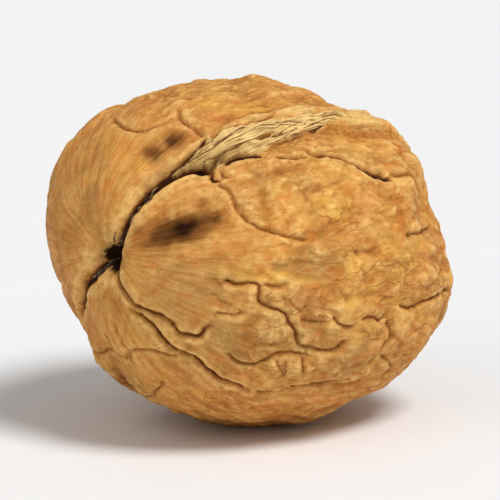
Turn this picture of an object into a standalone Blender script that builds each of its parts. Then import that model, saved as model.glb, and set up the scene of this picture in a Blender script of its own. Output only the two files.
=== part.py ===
"""A walnut in its shell, lying on its side on a small flat spot.

The shell is one closed solid. A cube is cut into a grid and rounded into an egg, and its surface
is then raised and sunk along its normals by a formula: two domed cheeks, the suture band between
them, creases that run out from the stem scar, a net of shallow furrows, dents and broad bumps.

Everything is worked out in millimetres in the shell's own frame and scaled to metres at the end.
In that frame X runs from the stem scar to the tip, Z points to the upper suture, and the plane
Y = 0 is the suture plane. A place on the shell is (round, along) in degrees: round is turned from
the upper suture towards -Y, and along is 0 at the stem scar and 180 at the tip.
"""

import math

import bmesh
import bpy
import numpy as np
from mathutils import Euler

MM = 0.001

# Overall size, in millimetres
HALF_LENGTH = 21.5
HALF_WIDTH = 18.2
HALF_HEIGHT = 17.2
SEMI_AXES = np.array([HALF_LENGTH, HALF_WIDTH, HALF_HEIGHT])

# How it lies: turned round its length, stem end lifted, and cut off level where it rests
SUTURE_ROLL_DEG = 30.5
STEM_LIFT_DEG = 8.0
REST_HEIGHT = 17.1
REST_CALM_RADIUS = 5.0

# Mesh grid: squares along each side of the cube, and how strongly they crowd towards creases
GRID_SQUARES = 30
CROWD_STRENGTH = 0.6
CROWD_REACH = 0.8

# Suture band and cheeks
CHEEK_VALLEY_DEPTH = 0.9
CHEEK_VALLEY_WIDTH = 4.6
BAND_HEIGHT = 1.35
BAND_HALF_WIDTH = 1.7
BAND_STARTS_DEG = 36.0
BAND_FULL_DEG = 62.0
TIP_HEIGHT = 1.5
TIP_SPREAD_DEG = 13.0

# Stem scar
SCAR_RADIUS = 1.5
SCAR_DEPTH = 1.6
SCAR_DISH_RADIUS = 4.0
SCAR_DISH_DEPTH = 0.5

# Broad swellings and hollows: place, spread and height in millimetres
SWELLINGS = [
    ((-82, 46), 7.5, 1.1),
    ((-158, 38), 7.0, -1.1),
    ((160, 44), 4.0, -0.9),
    ((-14, 84), 7.0, -0.7),
    ((14, 118), 5.0, 1.8),
    ((35, 119), 2.6, -1.2),
    ((62, 130), 7.0, 1.15),
    ((95, 121), 7.0, 1.3),
    ((-62, 112), 8.0, 0.7),
    ((-120, 96), 8.0, 0.6),
    ((150, 110), 7.5, -0.5),
    ((-150, 130), 6.5, 0.6),
]

# Dents: place, half length along the shell, half length round it, depth, in millimetres
DENTS = [
    ((37, 25), 3.6, 1.7, 1.2),
    ((33, 39), 1.8, 1.0, 0.4),
    ((-18, 40), 2.4, 1.0, 0.4),
    ((-40, 88), 2.4, 1.7, 0.8),
    ((-28, 120), 2.2, 1.5, 0.7),
    ((-150, 62), 2.6, 1.5, 0.8),
    ((-160, 104), 2.6, 1.5, 0.7),
    ((152, 70), 2.4, 1.6, 0.8),
    ((160, 122), 2.0, 1.4, 0.6),
    ((24, 138), 2.2, 1.5, 0.7),
    ((-98, 124), 2.6, 1.8, 0.6),
    ((66, 128), 2.2, 1.7, 0.6),
]

# Creases: depth and half width in millimetres, then the places that the line runs through
CREASES = [
    # along the suture at the stem end, above and below the scar
    (0.9, 0.4, [(20, 3), (4, 10), (0, 16), (-4, 22), (-5, 29), (-4, 35), (-5, 42), (-6, 50), (-4, 58)]),
    (1.3, 0.4, [(24, 3), (9, 9), (3, 15), (0, 21), (-2, 27), (-1, 34), (2, 40), (6, 42), (17, 44)]),
    (1.3, 0.5, [(157, 3), (-179, 12), (-177, 20), (-176, 28), (-173, 36), (-174, 48)]),
    (0.8, 0.5, [(145, 3), (165, 13), (172, 18), (178, 25)]),
    # the strip beside the suture, which ends in a notch
    (0.5, 0.4, [(7, 47), (8, 52), (11, 57), (14, 61), (16, 65), (17, 69), (18, 73)]),
    (0.9, 0.4, [(11, 70), (14, 73), (17, 75), (18, 80), (20, 85), (23, 89), (25, 94), (27, 108), (33, 116)]),
    # the two furrows under the scar, and the loop between them
    (1.0, 0.4, [(115, 3), (116, 14), (111, 23), (105, 28), (104, 35), (100, 40), (84, 41), (77, 49)]),
    (1.1, 0.4, [(117, 15), (118, 20), (114, 29), (114, 38), (111, 46), (112, 54), (105, 73), (99, 81)]),
    # the near cheek's net
    (0.5, 0.4, [(66, 38), (67, 50), (74, 52), (75, 58), (82, 64), (87, 68), (86, 76), (80, 81)]),
    (0.35, 0.4, [(97, 49), (100, 53), (98, 58), (92, 62), (90, 68), (89, 74)]),
    (0.6, 0.4, [(77, 64), (75, 76), (74, 84), (75, 90), (71, 96), (69, 105), (67, 119), (66, 130)]),
    (0.4, 0.4, [(74, 92), (80, 97), (86, 95), (92, 92)]),
    (0.35, 0.4, [(26, 45), (32, 47), (38, 48), (45, 55), (46, 64)]),
    (0.4, 0.4, [(47, 96), (46, 102), (44, 110), (40, 121)]),
    # the far cheek, above the suture
    (0.35, 0.4, [(-54, 49), (-46, 43), (-38, 41), (-32, 42), (-26, 47)]),
    (0.35, 0.4, [(-6, 49), (-12, 50), (-21, 50), (-28, 56)]),
]
CREASE_FADE = 2.2
CREASE_MARGIN = 4.0
CREASE_FLOOR_SHARE = 0.55
CREASE_SHOULDER = 3.0
SCAR_END_DEG = 4.0

# Creases on the sides that are made by a rule: first and last place round, and how many,
# then between which places along they start and end
CREASE_SEED = 41
STEM_CREASE_SECTOR = (-164, -92, 4)
UNDER_CREASE_SECTOR = (150, 168, 2)
STEM_CREASE_STARTS = (24, 46)
STEM_CREASE_ENDS = (78, 112)
TIP_CREASE_SECTOR = (-170, 170, 12)
TIP_CREASE_STARTS = (160, 170)
TIP_CREASE_ENDS = (118, 142)
RULE_CREASE_DEPTHS = (0.5, 0.95)
RULE_CREASE_WIDTH = 0.45
RULE_CREASE_STEP_DEG = 9.0
RULE_CREASE_DRIFT_DEG = 3.6

# The net of shallow furrows, which is deeper in some patches
NET_CELL = 7.0
NET_DEPTH = 0.4
NET_WIDTH = 0.7
NET_STRETCH = 0.62
NET_SEED = 11
NET_PATCH_SIZE = 13.0
NET_PATCH_SEED = 53
NET_LEAST_SHARE = 0.25

# Bumps and folds, in millimetres
BROAD_BUMP_SIZE = 10.0
BROAD_BUMP_HEIGHT = 0.45
BROAD_BUMP_SEED = 5
FOLD_SIZE = 5.2
FOLD_HEIGHT = 0.6
FOLD_MEAN = 0.3
FOLD_STRETCH = 0.7
FOLD_SEED = 17

# From smooth at the stem to rough at the tip, and what is left of the folds and the net where smooth
CALM_END_DEG = 34.0
ROUGH_START_DEG = 66.0
CALM_FOLD_SHARE = 0.25
CALM_NET_SHARE = 0.35

# How lines and the suture wander
WANDER_SIZE = 4.0
WANDER_REACH = 0.45
WANDER_SEED = 31
SUTURE_WANDER_SIZE = 7.0
SUTURE_WANDER_REACH = 0.35
SUTURE_WANDER_SEED = 23

SHELL_COLOUR = (0.56, 0.30, 0.11, 1.0)
SHELL_ROUGHNESS = 0.62


def smooth_step(low, high, value):
    """0 below low, 1 above high, and an S-curve between."""
    t = np.clip((value - low) / (high - low), 0.0, 1.0)
    return t * t * (3.0 - 2.0 * t)


def at_least(share, mask):
    """The mask squeezed so that it runs from the share to 1."""
    return share + (1.0 - share) * mask


def bell(distance, width):
    """A Gaussian bell: 1 at no distance, and a third at one width."""
    return np.exp(-((distance / width) ** 2))


def hashed(cells, seed):
    """A repeatable number from 0 to 1 for each whole-number cell, by mixing the bits of its indices."""
    x, y, z = (cells[..., i].astype(np.int64).astype(np.uint32) for i in range(3))
    with np.errstate(over="ignore"):
        h = x * np.uint32(73856093) ^ y * np.uint32(19349663) ^ z * np.uint32(83492791)
        h = h ^ np.uint32(seed * 2654435761 % 2**32)
        for shift, factor in ((16, 0x7FEB352D), (15, 0x846CA68B)):
            h = (h ^ (h >> np.uint32(shift))) * np.uint32(factor)
        h = h ^ (h >> np.uint32(16))
    return h / float(2**32)


def noise(points, size, seed):
    """Smooth random relief from about -1 to 1, whose bumps are about one size across.

    Each corner of a cubic lattice has a random slope, and the slopes are blended between corners.
    """
    scaled = points / size
    corner = np.floor(scaled)
    inside = scaled - corner
    blend = inside**3 * (inside * (inside * 6.0 - 15.0) + 10.0)
    total = np.zeros(len(points))
    for i in range(8):
        offset = np.array([i & 1, i >> 1 & 1, i >> 2 & 1], float)
        cell = corner + offset
        slope = np.stack([hashed(cell, seed * 3 + k) for k in range(3)], -1) * 2.0 - 1.0
        weight = np.where(offset > 0, blend, 1.0 - blend).prod(-1)
        total += weight * ((inside - offset) * slope).sum(-1)
    return total * 1.6


def place(round_deg, along_deg):
    """The point of the smooth egg at a place on the shell."""
    turn, along = math.radians(round_deg), math.radians(along_deg)
    girth = math.sin(along)
    return SEMI_AXES * np.array([-math.cos(along), -girth * math.sin(turn), girth * math.cos(turn)])


def on_egg(points):
    """The points moved in or out along their own direction, onto the smooth egg."""
    return points / np.linalg.norm(points / SEMI_AXES, axis=-1, keepdims=True)


def wandered(points):
    """The points moved about on the egg by noise, so that the lines looked up at them wander."""
    drift = np.stack([noise(points, WANDER_SIZE, WANDER_SEED + k) for k in range(3)], -1)
    return on_egg(points + WANDER_REACH * drift)


def along_degrees(directions):
    """How far each direction lies from the stem end, in degrees."""
    return np.degrees(np.arccos(np.clip(-directions[:, 0], -1.0, 1.0)))


def spline(points, steps=4):
    """A smooth curve through the points, by the Catmull-Rom formula."""
    padded = np.vstack([2 * points[0] - points[1], points, 2 * points[-1] - points[-2]])
    t = np.linspace(0.0, 1.0, steps, endpoint=False)[:, None]
    pieces = []
    for before, start, end, after in zip(padded, padded[1:], padded[2:], padded[3:]):
        bend = 2 * before - 5 * start + 4 * end - after
        twist = 3 * (start - end) + after - before
        pieces.append(start + 0.5 * t * (end - before + t * (bend + t * twist)))
    return np.vstack([*pieces, points[-1:]])


def creases_by_rule():
    """Creases for the sides with none chosen by hand: lines that wander from the stem or the tip."""
    draw = np.random.default_rng(CREASE_SEED)
    made = []

    def wander(sector, starts, ends):
        for start_round in np.linspace(*sector):
            start, end, depth = (draw.uniform(*span) for span in (starts, ends, RULE_CREASE_DEPTHS))
            count = max(4, int(abs(end - start) / RULE_CREASE_STEP_DEG) + 1)
            along = np.linspace(start, end, count)
            drift = np.cumsum(draw.normal(0.0, RULE_CREASE_DRIFT_DEG, count)) / np.sin(np.radians(along))
            made.append((depth, RULE_CREASE_WIDTH, list(zip(start_round + drift, along))))

    for sector in (STEM_CREASE_SECTOR, UNDER_CREASE_SECTOR):
        wander(sector, STEM_CREASE_STARTS, STEM_CREASE_ENDS)
    wander(TIP_CREASE_SECTOR, TIP_CREASE_STARTS, TIP_CREASE_ENDS)
    return made


def nearest_on_line(points, line):
    """Distance from each point to a polyline, the closest spot on it, and its share of the way, 0 to 1."""
    starts, spans = line[:-1], np.diff(line, axis=0)
    lengths = np.linalg.norm(spans, axis=1)
    reach = ((points[:, None] - starts) * spans).sum(-1) / lengths**2
    reach = np.clip(reach, 0.0, 1.0)
    spots = starts + reach[..., None] * spans
    gaps = np.linalg.norm(points[:, None] - spots, axis=-1)
    best = gaps.argmin(1)
    rows = np.arange(len(points))
    travelled = np.concatenate([[0.0], np.cumsum(lengths)[:-1]])[best] + reach[rows, best] * lengths[best]
    return gaps[rows, best], spots[rows, best], travelled / lengths.sum()


def crease_field(points):
    """The relief of all the creases, and the nearest spot on any of them, at each point."""
    relief = np.zeros(len(points))
    nearest = np.full(len(points), np.inf)
    spots = points.copy()
    for depth, width, places in CREASES + creases_by_rule():
        line = on_egg(spline(np.array([place(*at) for at in places])))
        near = ((points > line.min(0) - CREASE_MARGIN) & (points < line.max(0) + CREASE_MARGIN)).all(1)
        gap, spot, travelled = nearest_on_line(points[near], line)
        length = np.linalg.norm(np.diff(line, axis=0), axis=1).sum()
        fade = smooth_step(0.0, CREASE_FADE, (1.0 - travelled) * length)
        if places[0][1] >= SCAR_END_DEG:
            fade = fade * smooth_step(0.0, CREASE_FADE, travelled * length)
        floor, shoulder = bell(gap, width), bell(gap, width * CREASE_SHOULDER)
        valley = -depth * fade * (CREASE_FLOOR_SHARE * floor + (1.0 - CREASE_FLOOR_SHARE) * shoulder)
        relief[near] = np.minimum(relief[near], valley)
        closer = gap < nearest[near]
        rows = np.flatnonzero(near)[closer]
        nearest[rows] = gap[closer]
        spots[rows] = spot[closer]
    return relief, nearest, spots


def net_distance(points):
    """Distance to the nearest wall between cells round scattered seeds, the cells lying lengthwise."""
    scaled = points * np.array([NET_STRETCH, 1.0, 1.0]) / NET_CELL
    home = np.floor(scaled)
    offsets = np.array([(i, j, k) for i in (-1, 0, 1) for j in (-1, 0, 1) for k in (-1, 0, 1)], float)
    seeds = []
    for offset in offsets:
        cell = home + offset
        jitter = np.stack([hashed(cell, NET_SEED + k) for k in range(3)], -1)
        seeds.append(cell + 0.1 + 0.8 * jitter - scaled)
    seeds = np.array(seeds)
    nearest = (seeds**2).sum(-1).argmin(0)
    closest = seeds[nearest, np.arange(len(points))]
    wall = np.full(len(points), np.inf)
    for seed in seeds:
        apart = seed - closest
        span = np.linalg.norm(apart, axis=-1)
        other = span > 1e-6
        middle = ((seed + closest) * 0.5 * apart).sum(-1) / np.where(other, span, 1.0)
        wall = np.where(other, np.minimum(wall, middle), wall)
    return wall * NET_CELL


def dent_relief(points):
    """Oval dents, each longer along the shell than round it."""
    relief = np.zeros(len(points))
    for at, half_length, half_round, depth in DENTS:
        centre = place(*at)
        outward = centre / SEMI_AXES**2
        outward /= np.linalg.norm(outward)
        lengthwise = np.array([1.0, 0.0, 0.0]) - outward[0] * outward
        lengthwise /= np.linalg.norm(lengthwise)
        crosswise = np.cross(outward, lengthwise)
        away = points - centre
        spread = np.hypot(away @ lengthwise / half_length, away @ crosswise / half_round)
        relief -= depth * bell(np.hypot(spread, away @ outward / half_length), 1.0)
    return relief


def suture_relief(points, along):
    """Two domed cheeks with a valley between them, and the raised band of the suture in the valley."""
    drift = SUTURE_WANDER_REACH * noise(points, SUTURE_WANDER_SIZE, SUTURE_WANDER_SEED)
    aside = np.abs(points[:, 1] + drift)
    grown = smooth_step(BAND_STARTS_DEG, BAND_FULL_DEG, along)
    valley = -CHEEK_VALLEY_DEPTH * bell(aside, CHEEK_VALLEY_WIDTH)
    band = BAND_HEIGHT * grown * np.exp(-((aside / BAND_HALF_WIDTH) ** 4))
    return valley + band


def relief_of(points, directions):
    """How far the surface stands above the smooth egg at each of its points, in millimetres."""
    along = along_degrees(directions)
    looked_up = wandered(points)
    creases, _, _ = crease_field(looked_up)
    rough = smooth_step(CALM_END_DEG, ROUGH_START_DEG, along)
    relief = suture_relief(points, along) + creases + dent_relief(points)
    for at, spread, height in SWELLINGS:
        relief += height * bell(np.linalg.norm(points - place(*at), axis=1), spread)
    relief += BROAD_BUMP_HEIGHT * noise(points, BROAD_BUMP_SIZE, BROAD_BUMP_SEED)
    folds = np.abs(noise(looked_up * np.array([FOLD_STRETCH, 1.0, 1.0]), FOLD_SIZE, FOLD_SEED))
    relief += FOLD_HEIGHT * at_least(CALM_FOLD_SHARE, rough) * (folds - FOLD_MEAN)
    patches = smooth_step(-0.3, 0.3, noise(points, NET_PATCH_SIZE, NET_PATCH_SEED))
    net = at_least(NET_LEAST_SHARE, patches) * at_least(CALM_NET_SHARE, rough)
    relief -= NET_DEPTH * net * bell(net_distance(looked_up), NET_WIDTH)
    relief += TIP_HEIGHT * bell(180.0 - along, TIP_SPREAD_DEG)
    from_scar = np.linalg.norm(points - place(0, 0), axis=1)
    relief -= SCAR_DISH_DEPTH * bell(from_scar, SCAR_DISH_RADIUS)
    relief -= SCAR_DEPTH * bell(from_scar, SCAR_RADIUS)
    return relief


def resting_turn():
    """The turn that lays the shell on its side, as a matrix."""
    return np.array(Euler((math.radians(SUTURE_ROLL_DEG), math.radians(STEM_LIFT_DEG), 0.0)).to_matrix())


def calm_at_rest(points, relief, turn):
    """Relief that fades out under the shell, where it rests."""
    down = turn.T @ np.array([0.0, 0.0, -1.0])
    lowest = SEMI_AXES**2 * down / np.linalg.norm(SEMI_AXES * down)
    away = np.linalg.norm(points - lowest, axis=1) / REST_CALM_RADIUS
    return relief * (1.0 - np.exp(-(away**4)))


def crowded(directions):
    """The directions moved towards the nearest crease, so that the grid is finer there."""
    points = directions * SEMI_AXES
    looked_up = wandered(points)
    _, gap, spots = crease_field(looked_up)
    pull = CROWD_STRENGTH * bell(np.minimum(gap, CREASE_MARGIN), CROWD_REACH)
    moved = (points + pull[:, None] * (spots - looked_up)) / SEMI_AXES
    return moved / np.linalg.norm(moved, axis=1, keepdims=True)


def rounded_cube():
    """A mesh of the unit sphere: a cube cut into a grid, with the same angle between its lines."""
    mesh = bpy.data.meshes.new("walnut")
    grid = bmesh.new()
    bmesh.ops.create_cube(grid, size=2.0)
    bmesh.ops.subdivide_edges(grid, edges=grid.edges[:], cuts=GRID_SQUARES - 1, use_grid_fill=True)
    grid.to_mesh(mesh)
    grid.free()
    corners = np.empty(len(mesh.vertices) * 3, np.float32)
    mesh.vertices.foreach_get("co", corners)
    spread = np.tan(corners.reshape(-1, 3).astype(float) * math.pi / 4)
    return mesh, spread / np.linalg.norm(spread, axis=1, keepdims=True)


def build_shell():
    """The walnut's shell as one object that rests on Z = 0, with its box centred on the origin."""
    mesh, directions = rounded_cube()
    directions = crowded(directions)
    points = directions * SEMI_AXES
    turn = resting_turn()
    relief = calm_at_rest(points, relief_of(points, directions), turn)
    outward = directions / SEMI_AXES
    outward /= np.linalg.norm(outward, axis=1, keepdims=True)
    surface = (points + relief[:, None] * outward) @ turn.T
    surface[:, 2] = np.maximum(surface[:, 2] + REST_HEIGHT, 0.0)
    surface[:, :2] -= (surface[:, :2].min(0) + surface[:, :2].max(0)) / 2
    mesh.vertices.foreach_set("co", (surface * MM).astype(np.float32).ravel())
    mesh.update()
    return mesh


def triangulated(mesh):
    """The mesh with each square cut along its shorter diagonal."""
    faces = bmesh.new()
    faces.from_mesh(mesh)
    bmesh.ops.triangulate(faces, faces=faces.faces[:], quad_method="SHORT_EDGE")
    faces.to_mesh(mesh)
    faces.free()
    mesh.shade_smooth()


def shell_material():
    """Dry tan shell with a dull sheen."""
    material = bpy.data.materials.new("walnut_shell")
    material.use_nodes = True
    surface = material.node_tree.nodes["Principled BSDF"]
    surface.inputs["Base Color"].default_value = SHELL_COLOUR
    surface.inputs["Roughness"].default_value = SHELL_ROUGHNESS
    surface.inputs["Metallic"].default_value = 0.0
    return material


def main():
    """Clears the scene and builds the walnut in its own collection."""
    for old in list(bpy.data.objects):
        bpy.data.objects.remove(old)
    collection = bpy.data.collections.new("walnut")
    bpy.context.scene.collection.children.link(collection)
    mesh = build_shell()
    triangulated(mesh)
    mesh.materials.append(shell_material())
    collection.objects.link(bpy.data.objects.new("walnut", mesh))


main()
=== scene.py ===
"""The finished look of one walnut in its shell, lying on its side on a pale floor.

The shell is one closed surface. Each of its points is a place on a smooth egg, moved along the egg's
normal by a relief in millimetres that is a sum of formulas: two domed cheeks and the suture band
between them, cracks and furrows along chosen lines, a net, folds, dents and fine wrinkles. The same
formulas give the masks that the finish reads: stains, fibrous band, pale lips that are painted
highlight, ridges painted pale as wear and highlight, hollows darkened as painted shade, and dents
darkened as stain and painted shade.

Lengths are in millimetres in the nut's own frame and become metres in the meshes. In that frame X
runs from the stem scar to the tip, Z points to the upper suture and Y = 0 is the suture plane. A
place on the shell is (round, along) in degrees: round is turned from the upper suture towards -Y,
and along is 0 at the stem scar and 180 at the tip.
"""

import logging
import math
from dataclasses import dataclass, field
from enum import Enum

import bpy
import numpy as np
from mathutils import Euler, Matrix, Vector


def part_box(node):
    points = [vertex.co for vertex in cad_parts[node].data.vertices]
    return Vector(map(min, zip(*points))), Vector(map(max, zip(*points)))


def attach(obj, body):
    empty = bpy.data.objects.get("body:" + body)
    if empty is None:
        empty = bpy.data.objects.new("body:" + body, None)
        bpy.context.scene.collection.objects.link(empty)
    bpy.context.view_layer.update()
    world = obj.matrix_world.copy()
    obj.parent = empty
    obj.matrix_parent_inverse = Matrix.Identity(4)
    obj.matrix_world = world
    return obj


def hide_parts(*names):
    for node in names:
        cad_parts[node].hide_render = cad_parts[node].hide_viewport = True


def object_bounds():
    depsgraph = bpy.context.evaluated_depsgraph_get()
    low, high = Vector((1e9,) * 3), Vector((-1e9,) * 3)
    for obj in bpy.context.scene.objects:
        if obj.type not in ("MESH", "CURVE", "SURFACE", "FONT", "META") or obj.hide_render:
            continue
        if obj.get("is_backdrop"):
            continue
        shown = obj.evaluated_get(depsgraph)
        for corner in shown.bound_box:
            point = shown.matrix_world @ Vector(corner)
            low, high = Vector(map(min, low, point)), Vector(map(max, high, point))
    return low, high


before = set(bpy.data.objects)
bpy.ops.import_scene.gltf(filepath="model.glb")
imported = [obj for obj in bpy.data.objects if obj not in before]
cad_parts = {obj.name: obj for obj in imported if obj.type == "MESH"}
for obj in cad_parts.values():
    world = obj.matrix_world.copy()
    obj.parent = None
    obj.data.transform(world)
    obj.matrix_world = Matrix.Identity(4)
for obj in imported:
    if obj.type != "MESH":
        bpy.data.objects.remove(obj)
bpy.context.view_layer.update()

Array = np.ndarray
Place = tuple[float, float]
Colour = tuple[float, float, float, float]
Socket = bpy.types.NodeSocket

MM = 0.001
CAD_NODE = "walnut"
CAD_BODY = "root"

# Whole numbers that mix a lattice cell's indices into one repeatable number
AXIS_FACTORS = (73856093, 19349663, 83492791)
SEED_FACTOR = 2654435761
MIXING_ROUNDS = ((16, 0x7FEB352D), (15, 0x846CA68B))
LAST_SHIFT = 16

# Brings the noise's usual range to about -1 to 1
NOISE_GAIN = 1.6
# How far a cell's seed point stays from the cell's sides
SEED_MARGIN = 0.1

log = logging.getLogger("walnut")


def smooth_step(low: float, high: float, value: Array) -> Array:
    """An S-curve: 0 below low, 1 above high, and 3t^2 - 2t^3 between.

    Args:
        low: the value where the curve leaves 0.
        high: the value where it reaches 1.
        value: what it is read at.

    Returns:
        The curve's height at each value.
    """
    t = np.clip((value - low) / (high - low), 0.0, 1.0)
    return t * t * (3.0 - 2.0 * t)


def bell(distance: Array, width: float) -> Array:
    """A Gaussian bell, exp(-(distance / width)^2)."""
    return np.exp(-((distance / width) ** 2))


def plateau(distance: Array, width: float) -> Array:
    """A bell with a flat top and steeper sides, exp(-(distance / width)^4)."""
    return np.exp(-((distance / width) ** 4))


def hashed(cells: Array, seed: int) -> Array:
    """A repeatable number from 0 to 1 for each whole-number cell, by mixing the bits of its indices.

    Args:
        cells: whole-number cell indices, three in each row.
        seed: which of many such fields of numbers.

    Returns:
        One number for each cell.
    """
    mixed = np.uint32(seed * SEED_FACTOR % 2**32)
    with np.errstate(over="ignore"):
        for axis, factor in enumerate(AXIS_FACTORS):
            mixed = mixed ^ cells[..., axis].astype(np.int64).astype(np.uint32) * np.uint32(factor)
        for shift, factor in MIXING_ROUNDS:
            mixed = (mixed ^ (mixed >> np.uint32(shift))) * np.uint32(factor)
        mixed = mixed ^ (mixed >> np.uint32(LAST_SHIFT))
    return mixed / float(2**32)


def noise(points: Array, size: float, seed: int) -> Array:
    """Smooth random relief from about -1 to 1.

    Each corner of a cubic lattice has a random slope, and the slopes' planes are blended between
    the corners by 6t^5 - 15t^4 + 10t^3.

    Args:
        points: where it is read, three coordinates in each row.
        size: how far apart the lattice's corners are.
        seed: which of many such fields.

    Returns:
        One height for each point.
    """
    scaled = points / size
    corner = np.floor(scaled)
    inside = scaled - corner
    blend = inside**3 * (inside * (inside * 6.0 - 15.0) + 10.0)
    total = np.zeros(len(points))
    for i in range(8):
        offset = np.array([i & 1, i >> 1 & 1, i >> 2 & 1], float)
        cell = corner + offset
        slope = np.stack([hashed(cell, seed * 3 + k) for k in range(3)], -1) * 2.0 - 1.0
        weight = np.where(offset > 0, blend, 1.0 - blend).prod(-1)
        total += weight * ((inside - offset) * slope).sum(-1)
    return total * NOISE_GAIN


def spline(points: Array, steps: int = 4) -> Array:
    """A smooth curve through the points, by the Catmull-Rom formula.

    Args:
        points: the points that it passes, in order.
        steps: how many points it has for each stretch between two of them.

    Returns:
        The curve's points.
    """
    padded = np.vstack([2 * points[0] - points[1], points, 2 * points[-1] - points[-2]])
    t = np.linspace(0.0, 1.0, steps, endpoint=False)[:, None]
    pieces = []
    for before, start, end, after in zip(padded, padded[1:], padded[2:], padded[3:]):
        bend = 2 * before - 5 * start + 4 * end - after
        twist = 3 * (start - end) + after - before
        pieces.append(start + 0.5 * t * (end - before + t * (bend + t * twist)))
    return np.vstack([*pieces, points[-1:]])


def nearest_on_line(points: Array, line: Array) -> tuple[Array, Array, Array]:
    """The closest spot on a polyline to each point.

    Args:
        points: the points, three coordinates in each row.
        line: the polyline's corners.

    Returns:
        Each point's distance, its closest spot, and how far along the line that lies, 0 to 1.
    """
    starts, spans = line[:-1], np.diff(line, axis=0)
    lengths = np.linalg.norm(spans, axis=1)
    reach = np.clip(((points[:, None] - starts) * spans).sum(-1) / lengths**2, 0.0, 1.0)
    spots = starts + reach[..., None] * spans
    gaps = np.linalg.norm(points[:, None] - spots, axis=-1)
    best = gaps.argmin(1)
    rows = np.arange(len(points))
    before = np.concatenate([[0.0], np.cumsum(lengths)[:-1]])
    travelled = before[best] + reach[rows, best] * lengths[best]
    return gaps[rows, best], spots[rows, best], travelled / lengths.sum()


def unit_circle(points: Array) -> Array:
    """The points' directions round X, as Y and Z of length 1."""
    return points[:, 1:] / np.linalg.norm(points[:, 1:], axis=1, keepdims=True).clip(1e-6)


def wall_distance(points: Array, cell: float, stretch: float, seed: int) -> Array:
    """Distance to the nearest wall between the cells round scattered seed points.

    Args:
        points: the points, three coordinates in each row.
        cell: how large the cells are.
        stretch: how much X is shortened before the cells are drawn, so that they lie lengthwise.
        seed: the first of three seeds for the seed points.

    Returns:
        The distance to the nearest plane midway between the two nearest seed points.
    """
    scaled = points * np.array([stretch, 1.0, 1.0]) / cell
    home = np.floor(scaled)
    steps = (-1, 0, 1)
    offsets = np.array([(i, j, k) for i in steps for j in steps for k in steps], float)
    ways = []
    for offset in offsets:
        at = home + offset
        inside = np.stack([hashed(at, seed + k) for k in range(3)], -1)
        ways.append(at + SEED_MARGIN + (1.0 - 2.0 * SEED_MARGIN) * inside - scaled)
    ways = np.array(ways)
    nearest = (ways**2).sum(-1).argmin(0)
    closest = ways[nearest, np.arange(len(points))]
    wall = np.full(len(points), np.inf)
    for other in ways:
        apart = other - closest
        span = np.linalg.norm(apart, axis=-1)
        real = span > 1e-6
        middle = ((other + closest) * 0.5 * apart).sum(-1) / np.where(real, span, 1.0)
        wall = np.where(real, np.minimum(wall, middle), wall)
    return wall * cell


@dataclass(frozen=True)
class Ripple:
    """One layer of noise: how long its waves are and how high, in millimetres, and its seed."""

    size: float
    height: float
    seed: int

    def at(self, points: Array) -> Array:
        """The layer's height at each point."""
        return self.height * noise(points, self.size, self.seed)


@dataclass(frozen=True)
class Shake:
    """Moves points about, so that what is drawn at them wanders: wave length and reach in millimetres.

    seed is the first of three, one for each coordinate.
    """

    size: float
    reach: float
    seed: int

    def moved(self, points: Array) -> Array:
        """The points, each coordinate moved by reach times a noise."""
        shifts = np.stack([noise(points, self.size, self.seed + k) for k in range(3)], -1)
        return points + self.reach * shifts


@dataclass(frozen=True)
class Creasing:
    """A layer of sharp-floored wrinkles: size and height in millimetres, and its seed.

    calm is the share of its height that it has on the smooth panels, and level is taken off so that
    the layer neither swells nor shrinks the nut.
    """

    size: float
    height: float
    seed: int
    calm: float
    level: float = 0.25

    def folds(self, points: Array) -> Array:
        """The absolute value of noise, which is 0 along the wrinkles' floors."""
        return np.abs(noise(points, self.size, self.seed))

    def at(self, points: Array, rough: Array) -> Array:
        """The layer's height: height (calm + (1 - calm) rough) (folds - level)."""
        return self.height * (self.calm + (1.0 - self.calm) * rough) * (self.folds(points) - self.level)


@dataclass(frozen=True)
class Egg:
    """The smooth egg under the shell's relief, and how it lies."""

    half_length: float = 21.5
    half_width: float = 18.2
    half_height: float = 17.2
    roll_deg: float = 30.5
    lift_deg: float = 8.0
    rest_height: float = 17.1

    @property
    def semi_axes(self) -> Array:
        """Its half sizes along X, Y and Z."""
        return np.array([self.half_length, self.half_width, self.half_height])

    def at(self, round_deg: Array | float, along_deg: Array | float) -> Array:
        """The egg's point at a place, or its points at arrays of places.

        Args:
            round_deg: degrees round from the upper suture towards -Y.
            along_deg: degrees from the stem scar.

        Returns:
            The point, or one in each row.
        """
        turn, along = np.broadcast_arrays(np.radians(round_deg), np.radians(along_deg))
        girth = np.sin(along)
        unit = np.stack([-np.cos(along), -girth * np.sin(turn), girth * np.cos(turn)], -1)
        return unit * self.semi_axes

    def outward(self, points: Array) -> Array:
        """Unit normals of the egg: each point over its squared half sizes, made one long.

        Args:
            points: points on the egg.

        Returns:
            One normal for each.
        """
        normals = points / self.semi_axes**2
        return normals / np.linalg.norm(normals, axis=-1, keepdims=True)

    def on_egg(self, points: Array) -> Array:
        """The points moved in or out along their own direction, onto the egg."""
        return points / np.linalg.norm(points / self.semi_axes, axis=-1, keepdims=True)

    def along(self, points: Array) -> Array:
        """How far each point lies from the stem scar, in degrees."""
        return np.degrees(np.arccos(np.clip(-points[..., 0] / self.half_length, -1.0, 1.0)))

    def round(self, points: Array) -> Array:
        """How far round each point lies from the upper suture, in degrees."""
        side, up = -points[..., 1] / self.half_width, points[..., 2] / self.half_height
        return np.degrees(np.arctan2(side, up))

    def turn(self) -> Array:
        """The turn that lays the nut on its side, as a matrix."""
        angles = (math.radians(self.roll_deg), math.radians(self.lift_deg), 0.0)
        return np.array(Euler(angles).to_matrix())

    def lowest(self) -> Array:
        """The egg's lowest point once it is turned: the squared half sizes times down, scaled to fit."""
        down = self.turn().T @ np.array([0.0, 0.0, -1.0])
        return self.semi_axes**2 * down / np.linalg.norm(self.semi_axes * down)


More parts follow.
